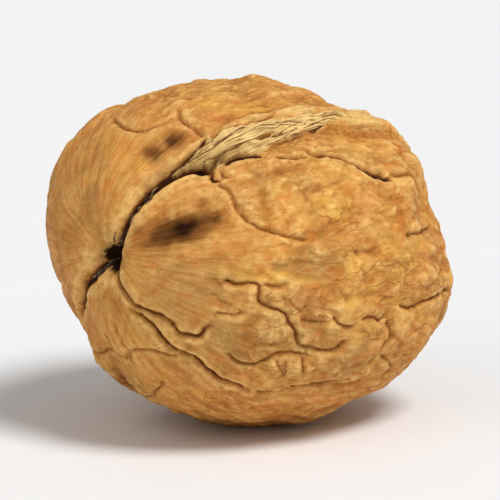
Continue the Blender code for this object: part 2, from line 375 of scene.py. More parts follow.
class Mark(Enum):
    """The kinds of line, each with half width, darkness, lip height, fade length and shoulder."""

    CLEFT = (0.40, 1.0, 0.05, 1.4, 0.9)
    GAP = (0.30, 1.0, 0.07, 1.0, 0.8)
    SEAM = (0.18, 0.95, 0.04, 1.2, 0.45)
    FURROW = (0.23, 0.78, 0.05, 2.5, 0.6)
    CRACK = (0.17, 0.65, 0.03, 1.0, 0.5)
    HAIRLINE = (0.17, 0.58, 0.02, 1.0, 0.4)
    SLIT = (0.12, 0.76, 0.04, 1.0, 0.32)
    STAIN = (0.28, 0.44, 0.0, 1.2, 0.8)

    @property
    def half_width(self) -> float:
        """Half the width of its dark floor, in millimetres."""
        return self.value[0]

    @property
    def darkness(self) -> float:
        """How dark its floor is, 0 to 1."""
        return self.value[1]

    @property
    def lip(self) -> float:
        """How high its lips stand, in millimetres."""
        return self.value[2]

    @property
    def fade(self) -> float:
        """How far from each end it fades out, in millimetres."""
        return self.value[3]

    @property
    def shoulder(self) -> float:
        """Half the width of the shallow dip that it lies in, in millimetres."""
        return self.value[4]


@dataclass(frozen=True)
class Line:
    """One line on the shell: its kind, its depth in millimetres, and the places that it runs through."""

    mark: Mark
    depth: float
    places: list[Place]


@dataclass(frozen=True)
class Dent:
    """An oval dent: place, half length along the shell, half length round it, depth and darkness."""

    place: Place
    half_length: float
    half_round: float
    depth: float
    darkness: float = 0.35


@dataclass(frozen=True)
class Tint:
    """An oval patch of colour: its place, half length along the shell, half length round it, strength."""

    place: Place
    half_length: float
    half_round: float
    strength: float = 0.7


# Lines listed for the side that shows
LINES = [
    # along the suture at the stem end, above and below the scar
    Line(Mark.CLEFT, 1.0, [(40, 3), (13, 8), (4, 14), (2, 19), (0, 25), (-1, 32)]),
    Line(Mark.SEAM, 0.9, [(20, 4), (11, 8), (3, 15), (1, 21), (-1, 26), (-2, 30), (-2, 34), (-2, 38),
                          (-3, 43), (-4, 47), (-5, 52)]),
    Line(Mark.GAP, 0.8, [(-3, 46), (-4, 49), (-5, 51), (-5, 53)]),
    Line(Mark.GAP, 1.2, [(20, 4), (11, 8), (4, 15), (2, 20), (1, 24), (0, 30), (1, 35), (2, 38), (4, 42),
                         (7, 45), (10, 46)]),
    Line(Mark.SEAM, 0.7, [(7, 45), (10, 46), (13, 45), (16, 46), (18, 48)]),
    Line(Mark.CRACK, 0.5, [(9, 47), (12, 48), (15, 48), (17, 50)]),
    Line(Mark.CRACK, 0.6, [(-5, 51), (-4, 54), (-4, 58), (-2, 62), (-2, 66), (-2, 71), (-3, 75)]),
    Line(Mark.CLEFT, 1.3, [(155, 3), (-177, 8), (-174, 12), (-171, 17), (-168, 24), (-167, 31), (-166, 36),
                           (-165, 46)]),
    # the strip beside the suture, which ends in a notch
    Line(Mark.SEAM, 0.5, [(9, 49), (9, 52), (9, 55), (10, 58), (12, 61), (14, 63)]),
    Line(Mark.CRACK, 0.5, [(14, 64), (16, 68), (17, 72), (17, 76)]),
    Line(Mark.FURROW, 0.6, [(11, 73), (14, 76), (16, 77), (17, 82), (17, 85), (18, 87), (20, 89), (22, 93),
                            (24, 98), (25, 104)]),
    Line(Mark.SEAM, 0.9, [(20, 88), (23, 93), (24, 96), (26, 100), (27, 104)]),
    Line(Mark.HAIRLINE, 0.5, [(24, 101), (26, 105), (25, 110), (26, 113), (32, 120)]),
    # the two furrows under the scar, the loop and the tie between them
    Line(Mark.FURROW, 0.5, [(115, 3), (114, 11), (108, 21), (104, 24), (100, 28), (98, 32), (100, 36),
                           (97, 39), (96, 41), (91, 41), (86, 42), (81, 43)]),
    Line(Mark.HAIRLINE, 0.3, [(84, 42), (80, 43), (78, 47), (75, 51)]),
    Line(Mark.FURROW, 0.6, [(117, 18), (113, 23), (110, 27), (109, 30), (110, 35), (109, 39), (107, 46),
                            (108, 50), (109, 55), (108, 62), (108, 66)]),
    Line(Mark.CRACK, 0.5, [(107, 64), (106, 71), (103, 74), (100, 77), (98, 83), (95, 92)]),
    Line(Mark.STAIN, 0.3, [(101, 38), (104, 41), (107, 42), (109, 44)]),
    # the near cheek's cracks
    Line(Mark.CRACK, 0.5, [(64, 40), (64, 47), (64, 50), (65, 52), (71, 53), (72, 56), (73, 60), (77, 63),
                           (80, 66), (83, 67), (85, 69), (85, 73), (85, 78), (83, 81), (79, 83)]),
    Line(Mark.HAIRLINE, 0.3, [(65, 51), (64, 56), (61, 62)]),
    Line(Mark.CRACK, 0.35, [(94, 49), (97, 53), (97, 56), (96, 59), (92, 62), (90, 64), (89, 66), (88, 70),
                            (87, 75)]),
    Line(Mark.HAIRLINE, 0.4, [(91, 63), (95, 67), (99, 70)]),
    Line(Mark.CRACK, 0.3, [(89, 66), (94, 68), (98, 69)]),
    Line(Mark.CRACK, 0.3, [(87, 71), (92, 73), (96, 74)]),
    Line(Mark.STAIN, 0.4, [(76, 65), (75, 70), (75, 72), (74, 75)]),
    Line(Mark.HAIRLINE, 0.4, [(71, 74), (74, 77), (75, 80), (74, 84)]),
    Line(Mark.CRACK, 0.5, [(73, 84), (73, 90), (74, 93), (71, 96)]),
    Line(Mark.CRACK, 0.5, [(68, 98), (69, 103), (69, 108), (68, 114), (67, 122), (66, 130)]),
    Line(Mark.HAIRLINE, 0.4, [(73, 95), (78, 100), (81, 99), (83, 98), (85, 97), (89, 94)]),
    Line(Mark.HAIRLINE, 0.3, [(85, 98), (89, 105), (94, 109), (95, 107), (99, 107)]),
    Line(Mark.STAIN, 0.2, [(76, 79), (79, 81)]),
    Line(Mark.STAIN, 0.3, [(50, 79), (51, 83), (51, 87), (51, 91)]),
    Line(Mark.CRACK, 0.35, [(46, 100), (45, 106), (44, 112), (42, 119), (40, 125)]),
    Line(Mark.STAIN, 0.2, [(42, 103), (38, 110), (34, 117)]),
    Line(Mark.HAIRLINE, 0.35, [(15, 45), (19, 46), (24, 47), (31, 48), (35, 49), (39, 51), (42, 54),
                               (44, 57), (45, 62), (45, 68)]),
    Line(Mark.STAIN, 0.2, [(26, 53), (28, 55), (27, 58)]),
    Line(Mark.STAIN, 0.2, [(28, 61), (28, 66)]),
    Line(Mark.STAIN, 0.25, [(64, 35), (65, 39), (68, 43)]),
    Line(Mark.STAIN, 0.2, [(72, 38), (74, 43), (73, 48)]),
    # the left flank, and the far cheek above the suture
    Line(Mark.HAIRLINE, 0.3, [(141, 22), (141, 27), (141, 32), (140, 36), (143, 39), (140, 42)]),
    Line(Mark.HAIRLINE, 0.35, [(-5, 52), (-10, 52), (-14, 52), (-20, 52), (-24, 54), (-27, 57)]),
    Line(Mark.HAIRLINE, 0.3, [(-53, 49), (-44, 43), (-36, 42), (-31, 43), (-27, 45), (-24, 49)]),
]

# Slits in the fibrous band of the suture
SLITS = [
    Line(Mark.SLIT, 0.25, [(0, 37), (0, 42), (1, 48), (3, 54)]),
    Line(Mark.SLIT, 0.25, [(3, 43), (5, 48), (6, 54), (6, 60)]),
    Line(Mark.SLIT, 0.35, [(-2, 45), (-2, 51), (-2, 57)]),
    Line(Mark.SLIT, 0.35, [(1, 49), (1, 54), (1, 57), (1, 63), (1, 67)]),
    Line(Mark.SLIT, 0.25, [(6, 61), (6, 67), (6, 73), (4, 80)]),
    Line(Mark.SLIT, 0.25, [(9, 67), (8, 74), (6, 80)]),
    Line(Mark.SLIT, 0.35, [(4, 81), (5, 85), (4, 89)]),
    Line(Mark.SLIT, 0.20, [(4, 80), (3, 84), (2, 91), (1, 97)]),
    Line(Mark.SLIT, 0.20, [(2, 69), (3, 76), (3, 83)]),
    Line(Mark.SLIT, 0.35, [(7, 44), (6, 46), (5, 48)]),
    Line(Mark.SLIT, 0.35, [(9, 46), (8, 48), (6, 50)]),
    Line(Mark.SLIT, 0.35, [(9, 48), (8, 50), (7, 53)]),
]

# Dents, each darkened in its hollow as stain and painted shade
DENTS = [
    Dent((35, 28), 5.6, 2.3, 0.9, 0.95),
    Dent((31, 36), 3.2, 2.0, 0.1, 0.56),
    Dent((25, 28), 3.2, 1.7, 0.05, 0.36),
    Dent((-3, 32), 3.6, 1.3, 0.0, 0.45),
    Dent((34, 31), 3.1, 1.15, 0.7, 1.45),
    Dent((34, 41), 1.4, 1.0, 0.4, 0.62),
    Dent((25, 39), 1.3, 0.8, 0.25, 0.45),
    Dent((-15, 45), 1.7, 1.5, 0.45, 0.86),
    Dent((-17, 38), 2.0, 1.8, 0.45, 0.70),
    Dent((8, 45), 1.1, 0.6, 0.4, 0.95),
    Dent((7, 48), 1.5, 0.5, 0.2, 0.85),
    Dent((53, 64), 1.4, 0.8, 0.15, 0.40),
    Dent((44, 70), 1.3, 0.6, 0.15, 0.34),
    Dent((51, 81), 1.0, 0.4, 0.15, 0.38),
    Dent((51, 88), 1.2, 0.4, 0.15, 0.38),
    Dent((-40, 88), 2.4, 1.7, 0.8),
    Dent((-28, 120), 2.2, 1.5, 0.7),
    Dent((-150, 62), 2.6, 1.5, 0.8, 0.6),
    Dent((-160, 104), 2.6, 1.5, 0.7),
    Dent((149, 68), 2.4, 1.6, 0.8, 0.6),
    Dent((160, 122), 2.0, 1.4, 0.6),
    Dent((24, 138), 2.2, 1.5, 0.7),
    Dent((-98, 124), 2.6, 1.8, 0.6),
]

# Patches where the shell is yellower, redder or greyer; the broad grey ones on the lower near cheek are
# also painted shade
GILT = [
    Tint((60, 54), 5.0, 0.8, 1.3), Tint((56, 79), 2.0, 1.2, 0.9), Tint((61, 86), 1.6, 1.2),
    Tint((50, 93), 3.0, 1.6), Tint((51, 108), 2.2, 2.0), Tint((27, 58), 2.6, 1.4),
    Tint((36, 76), 3.6, 2.2), Tint((-13, 76), 3.4, 1.5), Tint((77, 89), 2.2, 0.7),
    Tint((-21, 65), 3.4, 1.8), Tint((0, 83), 2.2, 0.8), Tint((-17, 32), 2.0, 1.3),
    Tint((-70, 96), 3.6, 2.0), Tint((-130, 70), 4.0, 2.2), Tint((120, 118), 3.4, 2.0),
    Tint((-20, 142), 3.0, 1.6), Tint((57, 87), 7.0, 5.0, 0.35), Tint((57, 101), 2.4, 2.0),
    Tint((66, 79), 1.8, 1.2), Tint((34, 60), 2.4, 1.6, 0.6),
]
RUST = [
    Tint((47, 45), 1.6, 1.3), Tint((57, 73), 1.6, 0.7, 0.9), Tint((63, 68), 1.3, 0.7, 0.9),
    Tint((48, 123), 2.0, 1.6), Tint((110, 69), 3.6, 0.8, 0.9), Tint((105, 88), 3.4, 0.8),
    Tint((16, 40), 1.4, 1.0), Tint((16, 25), 2.4, 0.8), Tint((25, 27), 4.4, 1.8, 0.9),
    Tint((74, 44), 1.8, 0.8), Tint((-100, 66), 3.0, 1.5), Tint((175, 84), 3.4, 1.6),
    Tint((-40, 134), 2.4, 1.8), Tint((100, 136), 2.6, 1.4),
]
GREY_AND_SHADE = [
    Tint((69, 34), 6.0, 4.0, 0.9), Tint((89, 50), 4.4, 3.8, 1.0), Tint((87, 88), 3.4, 2.4, 0.9),
    Tint((52, 68), 2.4, 1.0, 1.1), Tint((55, 58), 1.6, 0.6, 0.9), Tint((-56, 16), 2.4, 1.6, 0.9),
    Tint((21, 98), 1.8, 0.7, 1.0), Tint((28, 70), 1.6, 0.8), Tint((-52, 30), 2.8, 1.8),
    Tint((5, 45), 2.2, 1.2, 1.3), Tint((7, 52), 2.6, 0.8, 1.0), Tint((20, 60), 1.6, 0.8),
    Tint((7, 61), 3.0, 0.6, 0.9), Tint((3, 68), 2.6, 0.6, 0.9), Tint((0, 34), 2.0, 0.6, 1.2),
    Tint((-90, 110), 3.2, 2.0), Tint((157, 58), 3.2, 2.0), Tint((-160, 90), 3.4, 1.6),
    Tint((60, 150), 2.6, 1.6), Tint((78, 62), 6.0, 3.6, 0.8), Tint((17, 89), 5.0, 2.0, 0.4),
    Tint((57, 66), 2.6, 1.4, 0.8), Tint((67, 50), 2.6, 1.6, 0.5),
]

# Broad swellings and hollows: place, spread and height in millimetres
SWELLINGS = [
    ((-82, 46), 7.5, 1.1),
    ((-158, 38), 7.0, -1.1),
    ((160, 44), 4.0, -0.9),
    ((-14, 84), 7.0, -0.7),
    ((14, 118), 5.0, 1.8),
    ((35, 119), 2.6, -1.2),
    ((62, 130), 7.0, 1.15),
    ((95, 121), 7.0, 1.3),
    ((-62, 112), 8.0, 0.7),
    ((-120, 96), 8.0, 0.6),
    ((150, 110), 7.5, -0.5),
    ((-150, 130), 6.5, 0.6),
]


@dataclass(frozen=True)
class HiddenLines:
    """Lines for the sides with none listed, which wander from the stem or the tip."""

    seed: int = 41
    stem_sector: tuple[float, float, int] = (-164, -92, 4)
    under_sector: tuple[float, float, int] = (150, 168, 2)
    stem_starts: tuple[float, float] = (24, 46)
    stem_ends: tuple[float, float] = (78, 112)
    tip_sector: tuple[float, float, int] = (-170, 170, 12)
    tip_starts: tuple[float, float] = (160, 170)
    tip_ends: tuple[float, float] = (118, 142)
    depths: tuple[float, float] = (0.4, 0.75)
    bold_from: float = 0.6
    step_deg: float = 9.0
    fewest_places: int = 4
    drift_deg: float = 3.6
    branches: int = 2
    branch_step: float = 2.6
    branch_steps: tuple[int, int] = (4, 7)
    branch_headings: tuple[float, float] = (35.0, 80.0)
    branch_bend_deg: float = 22.0
    branch_limits: tuple[float, float] = (12.0, 168.0)
    branch_depth: float = 0.3

    def draw(self) -> list[Line]:
        """Draws every line from one seeded generator.

        Returns:
            The lines, in the order that they are drawn.
        """
        generator = np.random.default_rng(self.seed)
        made = self.wander(self.stem_sector, self.stem_starts, self.stem_ends, generator)
        made += self.wander(self.under_sector, self.stem_starts, self.stem_ends, generator)
        made += self.wander(self.tip_sector, self.tip_starts, self.tip_ends, generator)
        return made + [self.branch(line, generator) for line in made for _ in range(self.branches)]

    def wander(self, sector: tuple[float, float, int], starts: tuple[float, float],
               ends: tuple[float, float], generator: np.random.Generator) -> list[Line]:
        """Lines whose place round drifts by summed normal draws, wider where the girth is small.

        Args:
            sector: the first and the last place round, and how many lines start between them.
            starts: how far along the nut they may start.
            ends: how far along it they may end.
            generator: where their draws come from.

        Returns:
            The lines.
        """
        made = []
        for start_round in np.linspace(*sector):
            start, end, depth = (generator.uniform(*span) for span in (starts, ends, self.depths))
            count = max(self.fewest_places, int(abs(end - start) / self.step_deg) + 1)
            along = np.linspace(start, end, count)
            drift = np.cumsum(generator.normal(0.0, self.drift_deg, count)) / np.sin(np.radians(along))
            mark = Mark.FURROW if depth > self.bold_from else Mark.CRACK
            made.append(Line(mark, depth, list(zip(start_round + drift, along))))
        return made

    def branch(self, line: Line, generator: np.random.Generator) -> Line:
        """A fine crack that leaves a line to one side, in steps of about the same length.

        Args:
            line: the line that it leaves.
            generator: where its draws come from.

        Returns:
            The branch.
        """
        turn, along = line.places[generator.integers(1, len(line.places) - 1)]
        count = int(generator.integers(*self.branch_steps))
        heading = generator.choice((-1.0, 1.0)) * generator.uniform(*self.branch_headings)
        headings = np.radians(heading + np.cumsum(generator.normal(0.0, self.branch_bend_deg, count)))
        step = np.degrees(self.branch_step / Egg().half_height)
        away = np.concatenate([[0.0], np.cumsum(np.cos(headings))]) * step
        aside = np.concatenate([[0.0], np.cumsum(np.sin(headings))]) * step
        alongs = np.clip(along + away, *self.branch_limits)
        turns = turn + aside / np.sin(np.radians(alongs))
        return Line(Mark.HAIRLINE, self.branch_depth, list(zip(turns, alongs)))


@dataclass
class Relief:
    """Heights above the egg, and the masks that the finish reads, each one number a point."""

    height: Array
    masks: dict[str, Array]


@dataclass(frozen=True)
class ShellForm:
    """The formula of the shell's surface. Sizes are in millimetres and places in degrees."""

    egg: Egg = field(default_factory=Egg)

    # The lines' section, in half widths of the line where it says so
    line_shakes: tuple[Shake, Shake] = (Shake(4.0, 0.45, 31), Shake(0.9, 0.17, 91))
    line_reach: float = 4.0
    stem_end_deg: float = 4.0
    lip_offset_widths: float = 2.2
    lip_widths: float = 0.9
    halo_width: float = 0.7
    halo_widths: float = 1.8
    paler_stretches: Ripple = Ripple(2.4, 0.9, 29)
    darkest: float = 1.15
    paling: float = 1.3

    # The suture's valley, the band raised in it, and the wedge of pale fibres on the band
    valley_depth: float = 0.9
    valley_width: float = 4.6
    band_height: float = 1.35
    band_half_width: float = 1.7
    band_starts_deg: float = 36.0
    band_full_deg: float = 62.0
    band_drift: Ripple = Ripple(7.0, 0.35, 23)
    cream_upper: tuple[Place, ...] = ((-2, 32), (-2, 38), (-3, 43), (-4, 50), (-2.5, 58), (0, 66),
                                      (1.5, 76), (1, 86), (-1, 99))
    cream_lower: tuple[Place, ...] = ((0, 32), (2, 38), (5, 43), (9, 49), (10, 56), (11, 61), (9, 67),
                                      (7.5, 75), (5.5, 83), (5, 88), (2, 99))
    cream_taper: float = 0.3
    cream_edge: tuple[float, float] = (-0.15, 0.30)
    cream_fray: tuple[Ripple, Ripple] = (Ripple(1.6, 0.30, 71), Ripple(0.6, 0.15, 72))
    cream_frays_deg: tuple[float, float] = (30.0, 50.0)
    far_cream: float = 0.45
    far_cream_half_width: float = 1.75
    far_cream_edge: tuple[float, float] = (0.0, 0.35)
    far_cream_patches: Ripple = Ripple(5.0, 1.0, 73)
    fibre_rows: float = 8.0
    fibre_waves_per_deg: float = 0.07
    fibre_height: float = 0.24
    fibre_limits: tuple[float, float] = (-2.0, 3.0)
    fibre_ripples: tuple[Ripple, Ripple] = (Ripple(1.0, 1.0, 75), Ripple(0.5, 0.5, 77))
    fibre_swell: Ripple = Ripple(2.2, 0.07, 76)

    # The dents' wandering outline and uneven darkening, stain and painted shade, and the ragged outline of
    # the patches of colour
    dent_shake: Shake = Shake(1.6, 0.35, 55)
    dent_darkening_share: float = 0.8
    dent_mottle: Ripple = Ripple(1.2, 0.3, 57)
    tint_shakes: tuple[Shake, Shake] = (Shake(2.4, 0.9, 81), Shake(0.9, 0.22, 84))

    # The tip and the stem scar
    tip_height: float = 1.5
    tip_spread_deg: float = 13.0
    scar_place: Place = (120, 2)
    scar_shake: Shake = Shake(1.2, 0.3, 67)
    scar_radius: float = 1.7
    scar_depth: float = 1.6
    dish_radius: float = 4.0
    dish_depth: float = 0.5

    # The net of shallow furrows, fainter on the near cheek, whose lines are listed
    net_cell: float = 7.0
    net_depth: float = 0.4
    net_width: float = 0.7
    net_floor_width: float = 0.25
    net_core_width: float = 0.17
    net_stretch: float = 0.62
    net_darkness: float = 0.55
    net_halo: float = 0.4
    net_seed: int = 11
    net_patches: Ripple = Ripple(13.0, 1.0, 53)
    net_patch_edge: tuple[float, float] = (-0.3, 0.3)
    net_least: float = 0.25
    net_calm: float = 0.35
    net_floor_share: float = 0.4
    chosen_place: Place = (55, 50)
    chosen_reach: float = 16.0
    chosen_share: float = 0.8

    # Bumps, folds, wrinkles and streaks, from the smooth panels at the stem to the rough part
    calm_end_deg: float = 34.0
    rough_start_deg: float = 66.0
    swell: Ripple = Ripple(10.0, 0.45, 5)
    folds: Creasing = Creasing(5.2, 0.6, 17, 0.25, 0.3)
    fold_stretch: float = 0.7
    wrinkles: tuple[Creasing, ...] = (Creasing(2.3, 0.32, 61, 0.12), Creasing(1.1, 0.15, 62, 0.2),
                                      Creasing(0.65, 0.10, 63, 0.1))
    wrinkle_stretch: float = 0.55
    streak_radius: float = 17.0
    streak_waves_per_deg: float = 0.045
    streak_height: float = 0.08
    streaks: tuple[Ripple, Ripple] = (Ripple(0.9, 1.0, 64), Ripple(2.1, 0.6, 65))
    streak_fade: float = 0.7
    streak_level: float = 0.4
    vein_width: float = 0.07
    vein_patches: Ripple = Ripple(3.2, 1.0, 66)
    vein_edge: tuple[float, float] = (0.0, 0.35)
    vein_darkness: float = 0.42
    lip_gain: float = 10.0
    rest_calm_radius: float = 5.0

    def lines(self) -> list[Line]:
        """Every line, listed or drawn by rule."""
        return LINES + SLITS + HiddenLines().draw()

    def wandered(self, points: Array) -> Array:
        """Where the points' lines are looked up, so that straight lines become jagged ones."""
        broad, fine = self.line_shakes
        return self.egg.on_egg(fine.moved(broad.moved(points)))

    def cut_lines(self, points: Array) -> tuple[dict[str, Array], Array, Array]:
        """Cuts every line into the surface.

        A line's section is a narrow bell on a broad one, -depth (0.5 bell(gap, half width) + 0.5
        bell(gap, shoulder)), with a lip, a bell round 2.2 half widths. It fades towards its ends, except
        at the stem, and a noise of 2.4 mm makes stretches of the paler kinds paler still.

        Args:
            points: the wandered points.

        Returns:
            The lines' relief, lips, dark floors and brown halos; each point's distance to the nearest
            line; and the nearest spot on it.
        """
        count = len(points)
        field_of = {name: np.zeros(count) for name in ("relief", "lip", "core", "halo")}
        nearest, spots = np.full(count, np.inf), points.copy()
        for line in self.lines():
            mark = line.mark
            route = self.egg.on_egg(spline(self.egg.at(*np.array(line.places, float).T)))
            low, high = route.min(0) - self.line_reach, route.max(0) + self.line_reach
            near = ((points > low) & (points < high)).all(1)
            gap, spot, travelled = nearest_on_line(points[near], route)
            length = np.linalg.norm(np.diff(route, axis=0), axis=1).sum()
            fade = smooth_step(0.0, mark.fade, (1.0 - travelled) * length)
            if line.places[0][1] >= self.stem_end_deg:
                fade = fade * smooth_step(0.0, mark.fade, travelled * length)
            narrow = bell(gap, mark.half_width)
            lip = bell(gap - self.lip_offset_widths * mark.half_width, self.lip_widths * mark.half_width)
            faint = np.clip(0.5 + self.paler_stretches.at(points[near]), 0.0, 1.0) * (1.0 - mark.darkness)
            halo = bell(gap, self.halo_width + self.halo_widths * mark.half_width)
            drawn = {"relief": line.depth * 0.5 * (narrow + bell(gap, mark.shoulder)),
                     "lip": mark.lip * lip,
                     "core": mark.darkness * (self.darkest - self.paling * faint) * narrow,
                     "halo": mark.darkness * halo}
            for name, value in drawn.items():
                field_of[name][near] = np.maximum(field_of[name][near], value * fade)
            closer = gap < nearest[near]
            rows = np.flatnonzero(near)[closer]
            nearest[rows], spots[rows] = gap[closer], spot[closer]
        return field_of, nearest, spots

    def press_dents(self, points: Array) -> tuple[Array, Array]:
        """Oval dents: a bell of the distance from each one's centre, measured in its own half lengths.

        Args:
            points: points on the egg.

        Returns:
            The dents' relief, and how dark each is painted, unevenly: stain and painted shade.
        """
        points = self.dent_shake.moved(points)
        relief, stain = np.zeros(len(points)), np.zeros(len(points))
        for dent in DENTS:
            spread = self.oval_distance(points, dent)
            relief -= dent.depth * bell(spread, 1.0)
            stain = np.maximum(stain, dent.darkness * bell(spread, self.dent_darkening_share))
        return relief, stain * (1.0 + self.dent_mottle.at(points))

    def tinted(self, points: Array, tints: list[Tint]) -> Array:
        """A mask of oval patches: the highest of their bells times their strengths."""
        bells = [tint.strength * bell(self.oval_distance(points, tint), 1.0) for tint in tints]
        return np.max(bells, axis=0)

    def oval_distance(self, points: Array, oval: Dent | Tint) -> Array:
        """How far points lie from an oval's centre, in its own half lengths.

        Args:
            points: points on the egg.
            oval: the dent or the patch.

        Returns:
            The distance: 1 on the oval's edge.
        """
        centre = self.egg.at(*oval.place)
        outward = self.egg.outward(centre)
        lengthwise = np.array([1.0, 0.0, 0.0]) - outward[0] * outward
        lengthwise /= np.linalg.norm(lengthwise)
        crosswise = np.cross(outward, lengthwise)
        away = points - centre
        spread = np.hypot(away @ lengthwise / oval.half_length, away @ crosswise / oval.half_round)
        return np.hypot(spread, away @ outward / oval.half_length)

    def suture(self, points: Array, along: Array) -> tuple[Array, Array, Array]:
        """The valley between the cheeks, the band raised in it, and the pale fibres on the band.

        The valley is a bell and the band a plateau of the distance to the suture. The fibres fill a
        wedge with a frayed edge at the stem end, and elsewhere patches of the band's own width.

        Args:
            points: points on the egg.
            along: how far each lies from the stem scar, in degrees.

        Returns:
            The relief, the mask of the pale fibres, and the place across their wedge, 0 to 1.
        """
        beside = points[:, 1] + self.band_drift.at(points)
        grown = smooth_step(self.band_starts_deg, self.band_full_deg, along)
        relief = -self.valley_depth * bell(beside, self.valley_width)
        relief += self.band_height * grown * plateau(beside, self.band_half_width)
        across, inside = self.across_cream(points, along)
        ragged = sum(ripple.at(points) for ripple in self.cream_fray)
        ragged = ragged * smooth_step(*self.cream_frays_deg, along)
        wedge = smooth_step(*self.cream_edge, inside + ragged)
        elsewhere = self.far_cream * plateau(beside, self.far_cream_half_width) * grown
        elsewhere = elsewhere * smooth_step(*self.far_cream_edge, self.far_cream_patches.at(points))
        return relief, np.maximum(wedge, elsewhere), across

    def cream_edges(self, along: Array) -> tuple[Array, Array]:
        """The places round of the wedge's upper and lower edges, by straight steps between theirs.

        Args:
            along: how far along the nut, in degrees.

        Returns:
            Degrees round of the upper edge and of the lower one.
        """
        upper = np.interp(along, *np.array(self.cream_upper)[:, ::-1].T)
        lower = np.interp(along, *np.array(self.cream_lower)[:, ::-1].T)
        return upper, lower

    def across_cream(self, points: Array, along: Array) -> tuple[Array, Array]:
        """Where points lie in the wedge of pale fibres on the upper suture.

        Args:
            points: points on the egg.
            along: how far each lies from the stem scar, in degrees.

        Returns:
            0 at the wedge's upper edge and 1 at its lower one, and the millimetres to its nearest edge.
        """
        upper, lower = self.cream_edges(along)
        turn = self.egg.round(points)
        first, last = self.cream_upper[0][1], self.cream_upper[-1][1]
        in_length = np.minimum(along - first, last - along) * self.cream_taper
        per_degree = math.radians(1.0) * self.egg.half_height * np.sin(np.radians(along))
        inside = np.minimum(np.minimum(turn - upper, lower - turn) * per_degree, in_length)
        return (turn - upper) / (lower - upper), inside

    def fibre_ridges(self, across: Array, along: Array, cream: Array) -> Array:
        """Fine ridges that fan out with the wedge of fibres.

        They are absolute values of noise at the place in the wedge, drawn out along it, with a broader
        noise on top.

        Args:
            across: the place across the wedge.
            along: degrees from the stem scar.
            cream: the mask of the pale fibres.

        Returns:
            The ridges' relief.
        """
        rows = np.clip(across, *self.fibre_limits) * self.fibre_rows
        fanned = np.stack([along * self.fibre_waves_per_deg, rows, np.zeros(len(along))], -1)
        ridges = sum(np.abs(ripple.at(fanned)) for ripple in self.fibre_ripples)
        return cream * (self.fibre_height * ridges + self.fibre_swell.at(fanned))

    def fine_relief(self, points: Array, along: Array, rough: Array) -> tuple[Array, Array]:
        """What is finer than the solid's form: wrinkles and radiating streaks.

        Wrinkles are absolute values of noises of 2.3, 1.1 and 0.65 mm, stronger towards the tip. Streaks
        are noise on a cylinder, so that they run from the stem, and fade along the nut.

        Args:
            points: the wandered points.
            along: how far each lies from the stem scar, in degrees.
            rough: 0 on the smooth panels at the stem, 1 on the rough part.

        Returns:
            The relief, and the mask of the wrinkles' floors where they show as thin brown veins.
        """
        lengthwise = points * np.array([self.wrinkle_stretch, 1.0, 1.0])
        relief = sum(layer.at(lengthwise, rough) for layer in self.wrinkles)
        circle = unit_circle(points)
        unrolled = np.column_stack([circle * self.streak_radius, along * self.streak_waves_per_deg])
        streaks = sum(np.abs(ripple.at(unrolled)) for ripple in self.streaks)
        relief += self.streak_height * (1.0 - self.streak_fade * rough) * (streaks - self.streak_level)
        floors = bell(self.wrinkles[0].folds(lengthwise), self.vein_width)
        veins = rough * floors * smooth_step(*self.vein_edge, self.vein_patches.at(points))
        return relief, veins

    def net(self, points: Array, wandered: Array, rough: Array) -> tuple[Array, Array, Array]:
        """The net: bells of the distance to the walls between cells of about 7 mm.

        Args:
            points: points on the egg.
            wandered: the wandered points.
            rough: 0 on the smooth panels at the stem, 1 on the rough part.

        Returns:
            The relief, the dark floors and the brown halos.
        """
        patches = smooth_step(*self.net_patch_edge, self.net_patches.at(points))
        strength = self.net_least + (1.0 - self.net_least) * patches
        strength = strength * (self.net_calm + (1.0 - self.net_calm) * rough)
        wall = wall_distance(wandered, self.net_cell, self.net_stretch, self.net_seed)
        section = (1.0 - self.net_floor_share) * bell(wall, self.net_width)
        section += self.net_floor_share * bell(wall, self.net_floor_width)
        from_chosen = np.linalg.norm(points - self.egg.at(*self.chosen_place), axis=1)
        fainter = 1.0 - self.chosen_share * bell(from_chosen, self.chosen_reach)
        core = self.net_darkness * strength * fainter * bell(wall, self.net_core_width)
        halo = self.net_halo * strength * bell(wall, self.net_width)
        return -self.net_depth * strength * section, core, halo

    def evaluate(self, points: Array) -> Relief:
        """The whole formula at points of the egg.

        The height is the sum of the suture, lines, dents, swellings, folds, net, wrinkles, fibres, tip
        and scar, brought to 0 round the spot that the nut lies on.

        Args:
            points: points on the egg.

        Returns:
            Heights along the egg's normals, and the masks.
        """
        egg = self.egg
        along = egg.along(points)
        wandered = self.wandered(points)
        drawn, _, _ = self.cut_lines(wandered)
        rough = smooth_step(self.calm_end_deg, self.rough_start_deg, along)
        band, cream, across = self.suture(points, along)
        dents, dent_darkening = self.press_dents(points)
        net, net_core, net_halo = self.net(points, wandered, rough)
        fine, veins = self.fine_relief(wandered, along, rough)
        from_scar = np.linalg.norm(self.scar_shake.moved(points) - egg.at(*self.scar_place), axis=1)
        scar = bell(from_scar, self.scar_radius)
        height = band - drawn["relief"] + drawn["lip"] + dents
        for at, spread, rise in SWELLINGS:
            height += rise * bell(np.linalg.norm(points - egg.at(*at), axis=1), spread)
        height += self.swell.at(points)
        height += self.folds.at(wandered * np.array([self.fold_stretch, 1.0, 1.0]), rough)
        height += net + fine + self.fibre_ridges(across, along, cream)
        height += self.tip_height * bell(180.0 - along, self.tip_spread_deg)
        height -= self.dish_depth * bell(from_scar, self.dish_radius) + self.scar_depth * scar
        height *= 1.0 - plateau(np.linalg.norm(points - egg.lowest(), axis=1), self.rest_calm_radius)
        coarse, finer = self.tint_shakes
        ragged = finer.moved(coarse.moved(points))
        masks = {
            "gilt": self.tinted(ragged, GILT),
            "rust": self.tinted(ragged, RUST),
            "grey_and_shade": self.tinted(ragged, GREY_AND_SHADE),
            "core": np.maximum(np.maximum(drawn["core"], net_core), self.vein_darkness * veins),
            "halo": np.maximum(drawn["halo"], net_halo),
            "lip": drawn["lip"] * self.lip_gain,
            "cream": cream,
            "dent": dent_darkening,
            "scar": scar,
            "rough": rough,
        }
